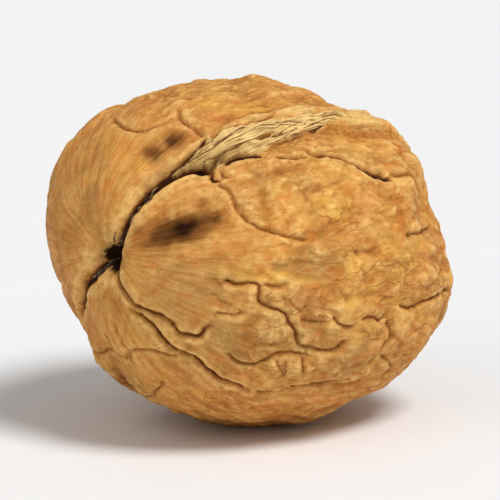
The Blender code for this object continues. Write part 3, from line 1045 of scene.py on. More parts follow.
        return Relief(height, masks)


@dataclass
class Shell:
    """The shell: a cube cut into a grid, rounded into the egg, and raised by the form's relief.

    offset is the shift that brings it over the middle of the solid's box. build sets it.
    """

    form: ShellForm
    squares: int = 128
    crowd_strength: float = 0.62
    crowd_reach: float = 0.55
    offset: Array = field(default_factory=lambda: np.zeros(3))

    def cube_grid(self) -> tuple[Array, Array]:
        """A cube cut into a grid, rounded to the unit sphere with the same angle between its lines.

        Each side is a grid of whole numbers from 0 to squares. Corners that two sides share are made
        one by their number, (i (n + 1) + j) (n + 1) + k.

        Returns:
            The sphere's points, and its squares as four indices each, facing outwards.
        """
        n = self.squares
        first, second = np.meshgrid(np.arange(n + 1), np.arange(n + 1), indexing="ij")
        sides, quads = [], []
        cell = np.arange((n + 1) ** 2).reshape(n + 1, n + 1)
        loop = np.stack([cell[:-1, :-1], cell[1:, :-1], cell[1:, 1:], cell[:-1, 1:]], -1).reshape(-1, 4)
        for axis in range(3):
            for level in (0, n):
                corner = np.empty((n + 1, n + 1, 3), int)
                corner[..., axis] = level
                corner[..., (axis + 1) % 3] = first
                corner[..., (axis + 2) % 3] = second
                sides.append(corner.reshape(-1, 3))
                quads.append((loop if level else loop[:, ::-1]) + len(quads) * (n + 1) ** 2)
        corners = np.vstack(sides)
        key = (corners[:, 0] * (n + 1) + corners[:, 1]) * (n + 1) + corners[:, 2]
        _, kept, joined = np.unique(key, return_index=True, return_inverse=True)
        spread = np.tan((corners[kept] * 2.0 / n - 1.0) * math.pi / 4)
        return spread / np.linalg.norm(spread, axis=1, keepdims=True), joined.ravel()[np.vstack(quads)]

    def crowded(self, points: Array) -> Array:
        """The points moved towards the nearest line, so that the grid is finest there.

        Args:
            points: points on the egg.

        Returns:
            Points on the egg, each moved by a share of its gap that falls off as a bell.
        """
        wandered = self.form.wandered(points)
        _, gap, spots = self.form.cut_lines(wandered)
        pull = self.crowd_strength * bell(gap, self.crowd_reach)
        unit = (points + pull[:, None] * (spots - wandered)) / self.form.egg.semi_axes
        return unit / np.linalg.norm(unit, axis=1, keepdims=True) * self.form.egg.semi_axes

    def laid(self, surface: Array) -> Array:
        """Turns points of the nut's frame as it lies and sets them on the floor, in metres.

        Args:
            surface: points in the nut's own frame, in millimetres.

        Returns:
            The points in the part's frame. None lies under the floor.
        """
        placed = surface @ self.form.egg.turn().T + self.offset
        placed[..., 2] = np.maximum(placed[..., 2] + self.form.egg.rest_height, 0.0)
        return placed * MM

    def above(self, places: Array, lift: Array) -> Array:
        """Points a little above the shell's finished surface.

        Args:
            places: places as (round, along), one in each row.
            lift: how far above each, in millimetres.

        Returns:
            The points in the nut's own frame, in millimetres.
        """
        points = self.form.egg.at(places[:, 0], places[:, 1])
        height = self.form.evaluate(points).height + lift
        return points + height[:, None] * self.form.egg.outward(points)

    def build(self, name: str) -> bpy.types.Object:
        """Makes the shell's mesh with its masks.

        Args:
            name: the piece's name.

        Returns:
            The shell's object.
        """
        sphere, quads = self.cube_grid()
        points = self.crowded(sphere * self.form.egg.semi_axes)
        relief = self.form.evaluate(points)
        surface = points + relief.height[:, None] * self.form.egg.outward(points)
        turned = surface @ self.form.egg.turn().T
        low, high = (np.array(corner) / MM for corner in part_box(CAD_NODE))
        middle = (low + high) / 2 - (turned.min(0) + turned.max(0)) / 2
        self.offset[:2] = middle[:2]
        piece = new_piece(name, self.laid(surface), quads)
        masks = relief.masks | RidgeAndHollowMasks().masks(relief.height, edges_of(piece.data))
        for mask, value in masks.items():
            write_mask(piece.data, mask, value)
        grain = np.column_stack([unit_circle(points), self.form.egg.along(points) / 180.0])
        write_vector(piece.data, "grain", grain)
        return piece

    def lay_strands(self, name: str, strands: "Strands", sides: int) -> bpy.types.Object:
        """Lays strands over the finished surface, as tubes with an oval section.

        Each section stands across the strand's run and out of the egg.

        Args:
            name: the piece's name.
            strands: where they run, and how thick and how pale they are.
            sides: how many points a section has.

        Returns:
            The strands' object.
        """
        count, steps = strands.widths.shape
        places = strands.places.reshape(-1, 2)
        routes = self.above(places, strands.lifts.ravel()).reshape(count, steps, 3)
        outward = self.form.egg.outward(self.form.egg.at(places[:, 0], places[:, 1])).reshape(routes.shape)
        across = np.cross(outward, np.gradient(routes, axis=1))
        across /= np.linalg.norm(across, axis=-1, keepdims=True)
        points, faces = tubes(routes, across, outward, strands.widths, strands.heights, sides)
        piece = new_piece(name, self.laid(points), faces)
        write_mask(piece.data, "tone", np.repeat(strands.tones, steps * sides + 2))
        return piece


@dataclass
class Strands:
    """Strands on the shell: arrays with a row for each strand and a column for each step along it."""

    places: Array
    lifts: Array
    widths: Array
    heights: Array
    tones: Array


def edges_of(mesh: bpy.types.Mesh) -> Array:
    """The edges of a mesh.

    Args:
        mesh: the mesh.

    Returns:
        The two corner indices of each edge.
    """
    edges = np.empty(len(mesh.edges) * 2, np.int32)
    mesh.edges.foreach_get("vertices", edges)
    return edges.reshape(-1, 2)


@dataclass(frozen=True)
class RidgeAndHollowMasks:
    """What stands above its surroundings and what lies below them, for fine relief and for broad."""

    fine_rounds: int = 10
    broad_rounds: int = 90
    fine_step: float = 0.06
    broad_step: float = 0.25
    ridge_gain: float = 0.5
    hollow_gain: float = 0.4

    def masks(self, height: Array, edges: Array) -> dict[str, Array]:
        """The ridges' mask and the hollows'.

        The surroundings' height is the mean of a point and its neighbours, taken again and again.

        Args:
            height: each point's height.
            edges: the two points of each edge.

        Returns:
            The masks ridge and hollow, from 0 to 1.
        """
        count = len(height)
        degree = np.bincount(edges.ravel(), minlength=count)
        fine = mean = height
        for step in range(1, self.broad_rounds + 1):
            total = np.bincount(edges[:, 0], mean[edges[:, 1]], count)
            total += np.bincount(edges[:, 1], mean[edges[:, 0]], count)
            mean = 0.5 * mean + 0.5 * total / degree
            fine = mean if step == self.fine_rounds else fine
        above = (height - fine) / self.fine_step + (fine - mean) / self.broad_step
        return {"ridge": np.clip(above * self.ridge_gain, 0.0, 1.0),
                "hollow": np.clip(-above * self.hollow_gain, 0.0, 1.0)}


def new_piece(name: str, points: Array, faces: Array | list) -> bpy.types.Object:
    """A smooth-shaded mesh object at the origin.

    Args:
        name: the object's name.
        points: its points in metres.
        faces: its faces as lists of indices.

    Returns:
        The object, linked to the scene.
    """
    mesh = bpy.data.meshes.new(name)
    mesh.from_pydata(points.tolist(), [], faces if isinstance(faces, list) else faces.tolist())
    mesh.update()
    mesh.shade_smooth()
    piece = bpy.data.objects.new(name, mesh)
    bpy.context.scene.collection.objects.link(piece)
    return piece


def write_mask(mesh: bpy.types.Mesh, name: str, values: Array) -> None:
    """Stores one number a point as a named attribute."""
    mesh.attributes.new(name, "FLOAT", "POINT").data.foreach_set("value", values.astype(np.float32))


def write_vector(mesh: bpy.types.Mesh, name: str, values: Array) -> None:
    """Stores three numbers a point as a named attribute."""
    made = mesh.attributes.new(name, "FLOAT_VECTOR", "POINT")
    made.data.foreach_set("vector", values.astype(np.float32).ravel())


def tubes(routes: Array, across: Array, outward: Array, widths: Array, heights: Array,
          sides: int) -> tuple[Array, list]:
    """Closed tubes with an oval section, carried along many routes at once.

    A section's point at angle v is route + widths cos(v) across + heights sin(v) outward. Each end is
    closed by a fan round its own route point.

    Args:
        routes: the routes, as strand, step and coordinate.
        across: unit vectors across each route, shaped like routes.
        outward: unit vectors out of the surface, shaped like routes.
        widths: half widths, as strand and step.
        heights: half heights, as strand and step.
        sides: how many points a section has.

    Returns:
        The points and the faces of all the tubes.
    """
    strands, steps, _ = routes.shape
    turn = np.linspace(0.0, 2.0 * math.pi, sides, endpoint=False)
    ring = routes[:, :, None] + widths[..., None, None] * np.cos(turn)[:, None] * across[:, :, None]
    ring = ring + heights[..., None, None] * np.sin(turn)[:, None] * outward[:, :, None]
    each = steps * sides
    index = np.arange(each).reshape(steps, sides)
    over = np.roll(index, -1, axis=1)
    walls = np.stack([index[:-1], over[:-1], over[1:], index[1:]], -1).reshape(-1, 4)
    first = np.stack([over[0], index[0], np.full(sides, each)], -1)
    last = np.stack([index[-1], over[-1], np.full(sides, each + 1)], -1)
    points = np.concatenate([ring.reshape(strands, each, 3), routes[:, :1], routes[:, -1:]], axis=1)
    shift = np.arange(strands)[:, None, None] * (each + 2)
    faces = (walls + shift).reshape(-1, 4).tolist()
    faces += (first + shift).reshape(-1, 3).tolist() + (last + shift).reshape(-1, 3).tolist()
    return points.reshape(-1, 3), faces


@dataclass
class SutureStrips:
    """Thin papery strips that lie lengthwise on the pale wedge of the suture, in millimetres.

    shares are places across the wedge, and slant is the mean and the spread of how far one crosses it.
    """

    shell: Shell
    count: int = 18
    seed: int = 7
    steps: int = 16
    sides: int = 8
    first_deg: float = 43.0
    last_deg: float = 96.0
    shortest_room_deg: float = 14.0
    spans_deg: tuple[float, float] = (9.0, 22.0)
    shares: tuple[float, float] = (0.06, 0.94)
    slant: tuple[float, float] = (-0.10, 0.10)
    wave: float = 0.03
    lift: float = 0.01
    curls: tuple[float, float] = (0.0, 0.05)
    half_widths: tuple[float, float] = (0.07, 0.17)
    half_heights: tuple[float, float] = (0.02, 0.035)
    blunt_end: float = 0.04

    def build(self, name: str) -> bpy.types.Object:
        """Lays the strips. Half width and height taper as sin(pi t)^0.6 along each.

        A strip keeps its share of the wedge's width but for a slant and one wave, and its far end
        curls up by a cube.

        Args:
            name: the piece's name.

        Returns:
            The strips' object.
        """
        draw = np.random.default_rng(self.seed)
        t = np.linspace(0.0, 1.0, self.steps)
        start = draw.uniform(self.first_deg, self.last_deg - self.shortest_room_deg, self.count)
        span = np.minimum(draw.uniform(*self.spans_deg, self.count), self.last_deg - start)
        share = draw.uniform(*self.shares, self.count)
        slant = draw.normal(*self.slant, self.count)
        wave = draw.normal(0.0, self.wave, self.count)
        along = start[:, None] + span[:, None] * t
        across = share[:, None] + slant[:, None] * (t - 0.5) + wave[:, None] * np.sin(2 * math.pi * t)
        upper, lower = self.shell.form.cream_edges(along)
        turn = upper + np.clip(across, 0.0, 1.0) * (lower - upper)
        curl = draw.uniform(*self.curls, self.count)[:, None] * t**3
        taper = np.maximum(np.sin(math.pi * t), 0.0) ** 0.6 * (1.0 - self.blunt_end) + self.blunt_end
        widths = draw.uniform(*self.half_widths, self.count)[:, None] * taper
        heights = draw.uniform(*self.half_heights, self.count)[:, None] * taper
        tones = draw.uniform(0.0, 1.0, self.count)
        places = np.stack([turn, along], -1)
        return self.shell.lay_strands(name, Strands(places, self.lift + curl, widths, heights, tones),
                                      self.sides)


@dataclass
class ScarFibres:
    """Frayed fibres in the stem scar and in the open gap of the suture beside it, in millimetres."""

    shell: Shell
    upper: tuple[Place, ...] = ((30, 2), (18, 5), (12, 8), (4, 14), (1, 22), (0, 30), (0, 40))
    lower: tuple[Place, ...] = ((165, 2), (183, 8), (186, 12), (189, 17), (192, 24))
    count: int = 40
    seed: int = 19
    steps: int = 9
    sides: int = 6
    below_share: float = 0.55
    first_deg: float = 2.5
    last_below_deg: float = 14.0
    last_above_deg: float = 26.0
    spans_deg: tuple[float, float] = (3.0, 6.0)
    spread: float = 0.14
    splay: float = 0.4
    lifts: tuple[float, float] = (0.1, 0.5)
    extra_lift: float = 0.7
    scar_reach_deg: float = 2.5
    arches: float = 1.3
    half_widths: tuple[float, float] = (0.06, 0.14)
    thinning: float = 0.7
    flatness: float = 0.8

    def build(self, name: str) -> bpy.types.Object:
        """Lays the fibres: each starts beside the middle of the gap, runs along it and arches up.

        The arch is sin(arches pi t), held at 0 once it is down again. It is highest on the fibres
        that start in the scar.

        Args:
            name: the piece's name.

        Returns:
            The fibres' object.
        """
        draw = np.random.default_rng(self.seed)
        t = np.linspace(0.0, 1.0, self.steps)
        below = draw.uniform(0.0, 1.0, self.count) < self.below_share
        start = np.where(below, draw.uniform(self.first_deg, self.last_below_deg, self.count),
                         draw.uniform(self.first_deg, self.last_above_deg, self.count))
        span = draw.uniform(*self.spans_deg, self.count)
        along = start[:, None] + span[:, None] * t
        centre = np.where(below[:, None], np.interp(along, *np.array(self.lower)[:, ::-1].T),
                          np.interp(along, *np.array(self.upper)[:, ::-1].T))
        beside = draw.normal(0.0, self.spread, self.count)[:, None] * (1.0 + self.splay * t)
        girth = self.shell.form.egg.half_height * np.sin(np.radians(along))
        turn = centre + np.degrees(beside / girth)
        in_scar = bell(start - self.first_deg, self.scar_reach_deg)
        lift = draw.uniform(*self.lifts, self.count) * (1.0 + self.extra_lift * in_scar)
        arch = np.sin(math.pi * np.minimum(t * self.arches, 1.0))
        width = draw.uniform(*self.half_widths, self.count)[:, None] * (1.0 - self.thinning * t)
        tones = draw.uniform(0.0, 1.0, self.count)
        strands = Strands(np.stack([turn, along], -1), lift[:, None] * arch, width, width * self.flatness,
                          tones)
        return self.shell.lay_strands(name, strands, self.sides)


def shade(red: int, green: int, blue: int) -> Colour:
    """A colour given as it shows on screen, 0 to 255, as the linear values that a shader takes.

    Args:
        red: the screen's red.
        green: the screen's green.
        blue: the screen's blue.

    Returns:
        The linear colour, by the sRGB curve.
    """
    levels = (value / 255.0 for value in (red, green, blue))
    linear = (v / 12.92 if v <= 0.04045 else ((v + 0.055) / 1.055) ** 2.4 for v in levels)
    return (*linear, 1.0)


class Wiring:
    """Adds nodes to one shader tree and links them, so that a finish reads as a list of steps."""

    def __init__(self, tree: bpy.types.NodeTree) -> None:
        """Works on a tree."""
        self.tree = tree

    def put(self, socket: Socket, value: object) -> None:
        """Links a socket to another, or sets its constant.

        Args:
            socket: the input.
            value: another node's output, or a number, vector or colour.
        """
        if isinstance(value, bpy.types.NodeSocket):
            self.tree.links.new(value, socket)
        else:
            socket.default_value = value

    def add(self, kind: str, inputs: dict | None = None, **settings: object) -> bpy.types.Node:
        """Adds a node.

        Args:
            kind: the node's type.
            inputs: values or outputs for its inputs, by name or by number.
            settings: the node's own options.

        Returns:
            The node.
        """
        node = self.tree.nodes.new(kind)
        for name, value in settings.items():
            setattr(node, name, value)
        for key, value in (inputs or {}).items():
            self.put(node.inputs[key], value)
        return node

    def mask(self, name: str) -> Socket:
        """A number stored on the points."""
        return self.add("ShaderNodeAttribute", attribute_name=name).outputs["Fac"]

    def vector(self, name: str) -> Socket:
        """A vector stored on the points."""
        return self.add("ShaderNodeAttribute", attribute_name=name).outputs["Vector"]

    def millimetres(self) -> Socket:
        """The object's own coordinates in millimetres.

        Returns:
            The vector.
        """
        place = self.add("ShaderNodeTexCoord").outputs["Object"]
        scale = (1.0 / MM,) * 3
        return self.add("ShaderNodeMapping", {"Vector": place, "Scale": scale}).outputs["Vector"]

    def stretch(self, vector: Socket, factor: object) -> Socket:
        """A vector times another, part by part."""
        return self.add("ShaderNodeVectorMath", {0: vector, 1: factor}, operation="MULTIPLY").outputs[0]

    def noise(self, vector: Socket, scale: object, detail: float = 3.0, rough: float = 0.55) -> Socket:
        """Cloudy noise, about 0.5 on average."""
        inputs = {"Vector": vector, "Scale": scale, "Detail": detail, "Roughness": rough}
        return self.add("ShaderNodeTexNoise", inputs).outputs["Fac"]

    def maths(self, operation: str, first: object, second: object = 0.0) -> Socket:
        """One step of arithmetic."""
        return self.add("ShaderNodeMath", {0: first, 1: second}, operation=operation).outputs[0]

    def times_plus(self, first: Socket, second: object, third: object) -> Socket:
        """The first times the second, plus the third."""
        inputs = {0: first, 1: second, 2: third}
        return self.add("ShaderNodeMath", inputs, operation="MULTIPLY_ADD").outputs[0]

    def span(self, value: object, low: object, high: object, to_low: float = 0.0,
             to_high: float = 1.0) -> Socket:
        """A smooth step from low to high, between two results.

        Args:
            value: what is read.
            low: where the step starts.
            high: where it ends.
            to_low: the result below low.
            to_high: the result above high.

        Returns:
            The step's output.
        """
        inputs = {"Value": value, "From Min": low, "From Max": high, "To Min": to_low, "To Max": to_high}
        return self.add("ShaderNodeMapRange", inputs, interpolation_type="SMOOTHSTEP").outputs["Result"]

    def blend(self, factor: object, first: object, second: object) -> Socket:
        """One colour mixed into another.

        Args:
            factor: how much of the second.
            first: the colour below.
            second: the colour on top.

        Returns:
            The mixed colour.
        """
        return self.add("ShaderNodeMix", {0: factor, 6: first, 7: second}, data_type="RGBA").outputs[2]

    def over(self, colour: object, mask: Socket, strength: object, tint: object) -> Socket:
        """A tint laid over a colour by a mask times a strength."""
        return self.blend(self.maths("MULTIPLY", mask, strength), colour, tint)

    def bump(self, surface: bpy.types.Node, height: Socket) -> None:
        """Raises a shader's surface by heights in millimetres.

        Args:
            surface: the shader.
            height: the heights.
        """
        bump = self.add("ShaderNodeBump", {"Height": height, "Distance": MM, "Strength": 1.0})
        self.put(surface.inputs["Normal"], bump.outputs["Normal"])

    def effect(self, tree: bpy.types.NodeTree, inputs: dict[str, object]) -> bpy.types.Node:
        """Places a shared effect with its own values.

        Args:
            tree: the effect's group.
            inputs: values or outputs for its inputs, by name.

        Returns:
            The group's node.
        """
        node = self.add("ShaderNodeGroup", node_tree=tree)
        for name, value in inputs.items():
            self.put(node.inputs[name], value)
        return node


class Effect:
    """A shared effect as a node group with named inputs and outputs, built once."""

    name = "effect"
    inputs: tuple[tuple[str, str, float], ...] = ()
    outputs: tuple[str, ...] = ("Mask",)

    def tree(self) -> bpy.types.NodeTree:
        """The group, made on its first use.

        Returns:
            The node group.
        """
        if self.name in bpy.data.node_groups:
            return bpy.data.node_groups[self.name]
        tree = bpy.data.node_groups.new(self.name, "ShaderNodeTree")
        for name, kind, value in self.inputs:
            socket = tree.interface.new_socket(name=name, in_out="INPUT", socket_type=kind)
            if kind == "NodeSocketFloat":
                socket.default_value = value
        for name in self.outputs:
            tree.interface.new_socket(name=name, in_out="OUTPUT", socket_type="NodeSocketFloat")
        wiring = Wiring(tree)
        given = tree.nodes.new("NodeGroupInput")
        results = self.wire(wiring, {name: given.outputs[name] for name, _, _ in self.inputs})
        shown = tree.nodes.new("NodeGroupOutput")
        for name, value in results.items():
            wiring.put(shown.inputs[name], value)
        return tree

    def wire(self, wiring: Wiring, given: dict[str, Socket]) -> dict[str, Socket]:
        """Wires the effect inside its group."""
        raise NotImplementedError


class Mottle(Effect):
    """Cloudy patches of about one size, with soft or hard edges."""

    name = "mottle"
    inputs = (("Vector", "NodeSocketVector", 0.0), ("Size", "NodeSocketFloat", 5.0),
              ("Middle", "NodeSocketFloat", 0.5), ("Softness", "NodeSocketFloat", 0.12))

    def wire(self, wiring: Wiring, given: dict[str, Socket]) -> dict[str, Socket]:
        """Noise of that size, cut by a smooth step that is Softness wide each way of Middle.

        Args:
            wiring: the group's wiring.
            given: the group's inputs.

        Returns:
            The mask.
        """
        scale = wiring.maths("DIVIDE", 1.0, given["Size"])
        cloud = wiring.noise(given["Vector"], scale, detail=4.0, rough=0.6)
        low = wiring.maths("SUBTRACT", given["Middle"], given["Softness"])
        high = wiring.maths("ADD", given["Middle"], given["Softness"])
        return {"Mask": wiring.span(cloud, low, high)}


class LongGrain(Effect):
    """Fine streaks that run lengthwise from the stem."""

    name = "long_grain"
    inputs = (("Vector", "NodeSocketVector", 0.0), ("Round", "NodeSocketFloat", 40.0),
              ("Along", "NodeSocketFloat", 6.0))

    def wire(self, wiring: Wiring, given: dict[str, Socket]) -> dict[str, Socket]:
        """Noise squeezed round the nut and drawn out along it.

        Args:
            wiring: the group's wiring.
            given: the group's inputs.

        Returns:
            The streaks' shade, 0 to 1.
        """
        parts = {0: given["Round"], 1: given["Round"], 2: given["Along"]}
        factor = wiring.add("ShaderNodeCombineXYZ", parts).outputs[0]
        streaks = wiring.noise(wiring.stretch(given["Vector"], factor), 1.0, detail=5.0, rough=0.62)
        return {"Mask": wiring.span(streaks, 0.32, 0.68)}


class Speckle(Effect):
    """Small round spots, one in some of the cells of a scattered grid."""

    name = "speckle"
    inputs = (("Vector", "NodeSocketVector", 0.0), ("Size", "NodeSocketFloat", 1.0),
              ("Radius", "NodeSocketFloat", 0.2), ("Share", "NodeSocketFloat", 0.3))

    def wire(self, wiring: Wiring, given: dict[str, Socket]) -> dict[str, Socket]:
        """Spots where the distance to a cell's seed is under Radius, kept in a Share of the cells.

        Args:
            wiring: the group's wiring.
            given: the group's inputs.

        Returns:
            The spots' mask.
        """
        scale = wiring.maths("DIVIDE", 1.0, given["Size"])
        cells = wiring.add("ShaderNodeTexVoronoi", {"Vector": given["Vector"], "Scale": scale})
        half = wiring.maths("MULTIPLY", given["Radius"], 0.5)
        spot = wiring.span(cells.outputs["Distance"], given["Radius"], half)
        pick = wiring.add("ShaderNodeSeparateColor", {0: cells.outputs["Color"]}).outputs[0]
        return {"Mask": wiring.maths("MULTIPLY", spot, wiring.maths("LESS_THAN", pick, given["Share"]))}


class Creases(Effect):
    """Thin wandering lines, of which only some stretches show."""

    name = "creases"
    inputs = (("Vector", "NodeSocketVector", 0.0), ("Size", "NodeSocketFloat", 1.5),
              ("Width", "NodeSocketFloat", 0.03))

    def wire(self, wiring: Wiring, given: dict[str, Socket]) -> dict[str, Socket]:
        """Where noise of that size is within Width of its middle, kept where a broader noise is high.

        Args:
            wiring: the group's wiring.
            given: the group's inputs.

        Returns:
            The lines' mask.
        """
        scale = wiring.maths("DIVIDE", 1.0, given["Size"])
        cloud = wiring.noise(given["Vector"], scale, detail=3.0, rough=0.5)
        off = wiring.maths("ABSOLUTE", wiring.maths("SUBTRACT", cloud, 0.5))
        line = wiring.span(off, given["Width"], 0.0)
        broad = wiring.noise(given["Vector"], wiring.maths("MULTIPLY", scale, 0.45), detail=2.0)
        return {"Mask": wiring.maths("MULTIPLY", line, wiring.span(broad, 0.42, 0.60))}


class Stain(Effect):
    """A dark line with a ragged brown halo, from two masks that fall off evenly."""

    name = "stain"
    inputs = (("Vector", "NodeSocketVector", 0.0), ("Core", "NodeSocketFloat", 0.0),
              ("Halo", "NodeSocketFloat", 0.0))
    outputs = ("Line", "Ring")

    def wire(self, wiring: Wiring, given: dict[str, Socket]) -> dict[str, Socket]:
        """The core is sharpened and frayed by fine noise, and the halo is broken up by coarse noise.

        Args:
            wiring: the group's wiring.
            given: the group's inputs.

        Returns:
            The line's mask and the halo's.
        """
        fine = wiring.maths("SUBTRACT", wiring.noise(given["Vector"], 3.2, detail=3.0), 0.5)
        line = wiring.span(wiring.times_plus(fine, 0.7, given["Core"]), 0.28, 0.80)
        coarse = wiring.noise(given["Vector"], 0.8, detail=4.0, rough=0.65)
        ring = wiring.maths("MULTIPLY", given["Halo"], wiring.span(coarse, 0.34, 0.66))
        return {"Line": line, "Ring": ring}


class RidgeHighlightAndHollowShade(Effect):
    """Pale ridges, from wear and painted highlight, and hollows darkened as painted shade, both broken up
    by noise.
    """

    name = "ridge_highlight_and_hollow_shade"
    inputs = (("Vector", "NodeSocketVector", 0.0), ("Ridge", "NodeSocketFloat", 0.0),
              ("Hollow", "NodeSocketFloat", 0.0))
    outputs = ("WearAndHighlight", "HollowShade")

    def wire(self, wiring: Wiring, given: dict[str, Socket]) -> dict[str, Socket]:
        """Each mask times a soft noise.

        Args:
            wiring: the group's wiring.
            given: the group's inputs.

        Returns:
            The pale mask of the ridges, wear and painted highlight, and the painted shade mask of the
            hollows.
        """
        cloud = wiring.noise(given["Vector"], 1.4, detail=4.0, rough=0.65)
        pale = wiring.maths("MULTIPLY", given["Ridge"], wiring.span(cloud, 0.30, 0.62))
        hollow_shade = wiring.maths("MULTIPLY", given["Hollow"], wiring.span(cloud, 0.75, 0.35))
        return {"WearAndHighlight": pale, "HollowShade": hollow_shade}


def new_material(name: str) -> tuple[bpy.types.Material, Wiring, bpy.types.Node]:
    """An empty material with its Principled shader.

    Args:
        name: the material's name.

    Returns:
        The material, its wiring and its shader node.
    """
    material = bpy.data.materials.new(name)
    material.use_nodes = True
    return material, Wiring(material.node_tree), material.node_tree.nodes["Principled BSDF"]


@dataclass(frozen=True)
class Clouding:
    """Cloudy patches of one tint: size in millimetres, where the noise is cut, and how softly.

    smooth is how strongly they show on the smooth panels at the stem, rugged on the rough part.
    """

    tint: Colour
    size: float
    middle: float
    softness: float
    smooth: float
    rugged: float


@dataclass(frozen=True)
class ShellFinish:
    """Dry tan nutshell: clouded tan and gold, streaked at the stem, mottled at the tip."""

    tan: Colour = shade(190, 129, 66)
    gold: Colour = shade(217, 152, 69)
    straw: Colour = shade(232, 174, 92)
    orange: Colour = shade(212, 124, 53)
    rose: Colour = shade(198, 128, 76)
    olive: Colour = shade(166, 121, 58)
    brown: Colour = shade(142, 83, 31)
    umber: Colour = shade(92, 52, 20)
    ink: Colour = shade(108, 62, 24)
    gap: Colour = shade(58, 31, 11)
    black_brown: Colour = shade(40, 20, 7)
    cream: Colour = shade(255, 222, 146)
    fibre: Colour = shade(148, 98, 44)
    grey: Colour = shade(152, 118, 70)
    yellow: Colour = shade(244, 188, 80)
    pale: Colour = shade(252, 208, 128)
    roughness: float = 0.62
    cream_roughness: float = 0.78
    specular: float = 0.06
    ground: tuple[Clouding, ...] = (Clouding(gold, 8.0, 0.48, 0.16, 1.0, 1.0),
                                    Clouding(straw, 2.6, 0.53, 0.10, 0.75, 0.75))
    placed: tuple[tuple[str, float, Colour], ...] = (("gilt", 0.62, yellow), ("rust", 0.62, orange),
                                                     ("grey_and_shade", 0.66, grey))
    clouding: tuple[Clouding, ...] = (Clouding(orange, 1.8, 0.55, 0.07, 0.60, 0.60),
                                      Clouding(rose, 5.0, 0.57, 0.08, 0.45, 0.45),
                                      Clouding(olive, 1.7, 0.58, 0.14, 0.2, 0.5),
                                      Clouding(brown, 0.9, 0.58, 0.08, 0.12, 0.34))

    def make(self) -> bpy.types.Material:
        """Wires the finish, from the clouded ground up to the cracks and the scar.

        Returns:
            The material.
        """
        material, wire, surface = new_material("nutshell")
        place, grain, rough = wire.millimetres(), wire.vector("grain"), wire.mask("rough")
        cream = wire.mask("cream")

        def by_rough(smooth: float, rugged: float) -> Socket:
            """A number that goes from the smooth panels' to the rough part's."""
            return wire.span(rough, 0.0, 1.0, smooth, rugged)

        def streaks(around: float, along: float) -> Socket:
            """Lengthwise streaks, by how many there are round the nut and along it."""
            inputs = {"Vector": grain, "Round": around, "Along": along}
            return wire.effect(LongGrain().tree(), inputs).outputs["Mask"]

        fine = streaks(44.0, 7.0)
        colour = self.clouds(wire, place, rough)

        # streaks from the stem
        streaked = by_rough(0.34, 0.12)
        colour = wire.over(colour, wire.maths("SUBTRACT", 1.0, fine), streaked, self.brown)
        colour = wire.over(colour, streaks(13.0, 3.0), wire.maths("MULTIPLY", streaked, 0.7), self.straw)
        colour = wire.over(colour, streaks(8.0, 2.4), wire.maths("MULTIPLY", streaked, 0.8), self.brown)

        # pale ridges as wear and painted highlight, hollows darkened as painted shade, dots and flecks
        inputs = {"Vector": place, "Ridge": wire.mask("ridge"), "Hollow": wire.mask("hollow")}
        ridge_highlight_and_hollow_shade = wire.effect(RidgeHighlightAndHollowShade().tree(), inputs)
        colour = wire.over(colour, ridge_highlight_and_hollow_shade.outputs["WearAndHighlight"], 0.70, self.pale)
        colour = wire.over(colour, ridge_highlight_and_hollow_shade.outputs["HollowShade"], 0.75, self.brown)
        inputs = {"Vector": place, "Size": 1.3, "Radius": 0.13, "Share": 0.16}
        dots = wire.effect(Speckle().tree(), inputs).outputs["Mask"]
        dots = wire.maths("MULTIPLY", dots, by_rough(0.15, 0.45))
        colour = wire.blend(dots, colour, self.umber)
        flecks = streaks(30.0, 30.0)
        colour = wire.blend(wire.span(flecks, 0.45, 0.0, 0.0, 0.13), colour, self.brown)
        colour = wire.blend(wire.span(flecks, 0.55, 1.0, 0.0, 0.13), colour, self.pale)

        # fine creases
        long_lines = wire.stretch(place, (0.45, 1.0, 1.0))
        coarse = wire.effect(Creases().tree(), {"Vector": long_lines, "Size": 2.2, "Width": 0.032})
        small = wire.effect(Creases().tree(), {"Vector": long_lines, "Size": 1.0, "Width": 0.045})
        small = wire.maths("MULTIPLY", small.outputs["Mask"], 0.6)
        creases = wire.maths("MAXIMUM", coarse.outputs["Mask"], small)
        creases = wire.maths("MULTIPLY", creases, by_rough(0.25, 1.0))
        colour = wire.over(colour, creases, 0.55, self.brown)

        # the fibrous band of the suture
        fibres = streaks(64.0, 9.0)
        papery = wire.blend(wire.span(fibres, 0.0, 0.6), self.fibre, self.cream)
        # painted shade: the band is darkened in its hollows
        papery = wire.blend(wire.span(wire.mask("hollow"), 0.2, 0.9, 0.0, 0.85), papery, self.brown)
        papery = wire.blend(wire.span(wire.mask("grey_and_shade"), 0.2, 1.0, 0.0, 0.75), papery, self.grey)
        colour = wire.over(colour, cream, 0.92, papery)

        # cracks, dents and the scar
        inputs = {"Vector": place, "Core": wire.mask("core"), "Halo": wire.mask("halo")}
        stain = wire.effect(Stain().tree(), inputs)
        # painted highlight: the lips beside the cracks are painted pale
        colour = wire.over(colour, wire.mask("lip"), 0.60, self.pale)
        colour = wire.over(colour, stain.outputs["Ring"], 0.42, self.brown)
        # dents darkened towards their middles: stain and painted shade
        dent = wire.maths("MULTIPLY", wire.mask("dent"), wire.span(fine, 0.0, 1.0, 1.10, 0.89))
        colour = wire.blend(wire.span(dent, 0.05, 0.80, 0.0, 0.85), colour, self.umber)
        colour = wire.blend(wire.span(dent, 0.50, 1.30, 0.0, 0.98), colour, self.black_brown)
        ink = wire.blend(wire.span(wire.mask("core"), 0.60, 1.0), self.ink, self.gap)
        colour = wire.blend(stain.outputs["Line"], colour, ink)
        torn = wire.times_plus(wire.noise(place, 1.6, detail=3.0), 0.5, wire.mask("scar"))
        colour = wire.blend(wire.span(torn, 0.60, 0.84), colour, self.black_brown)
        wire.put(surface.inputs["Base Color"], colour)

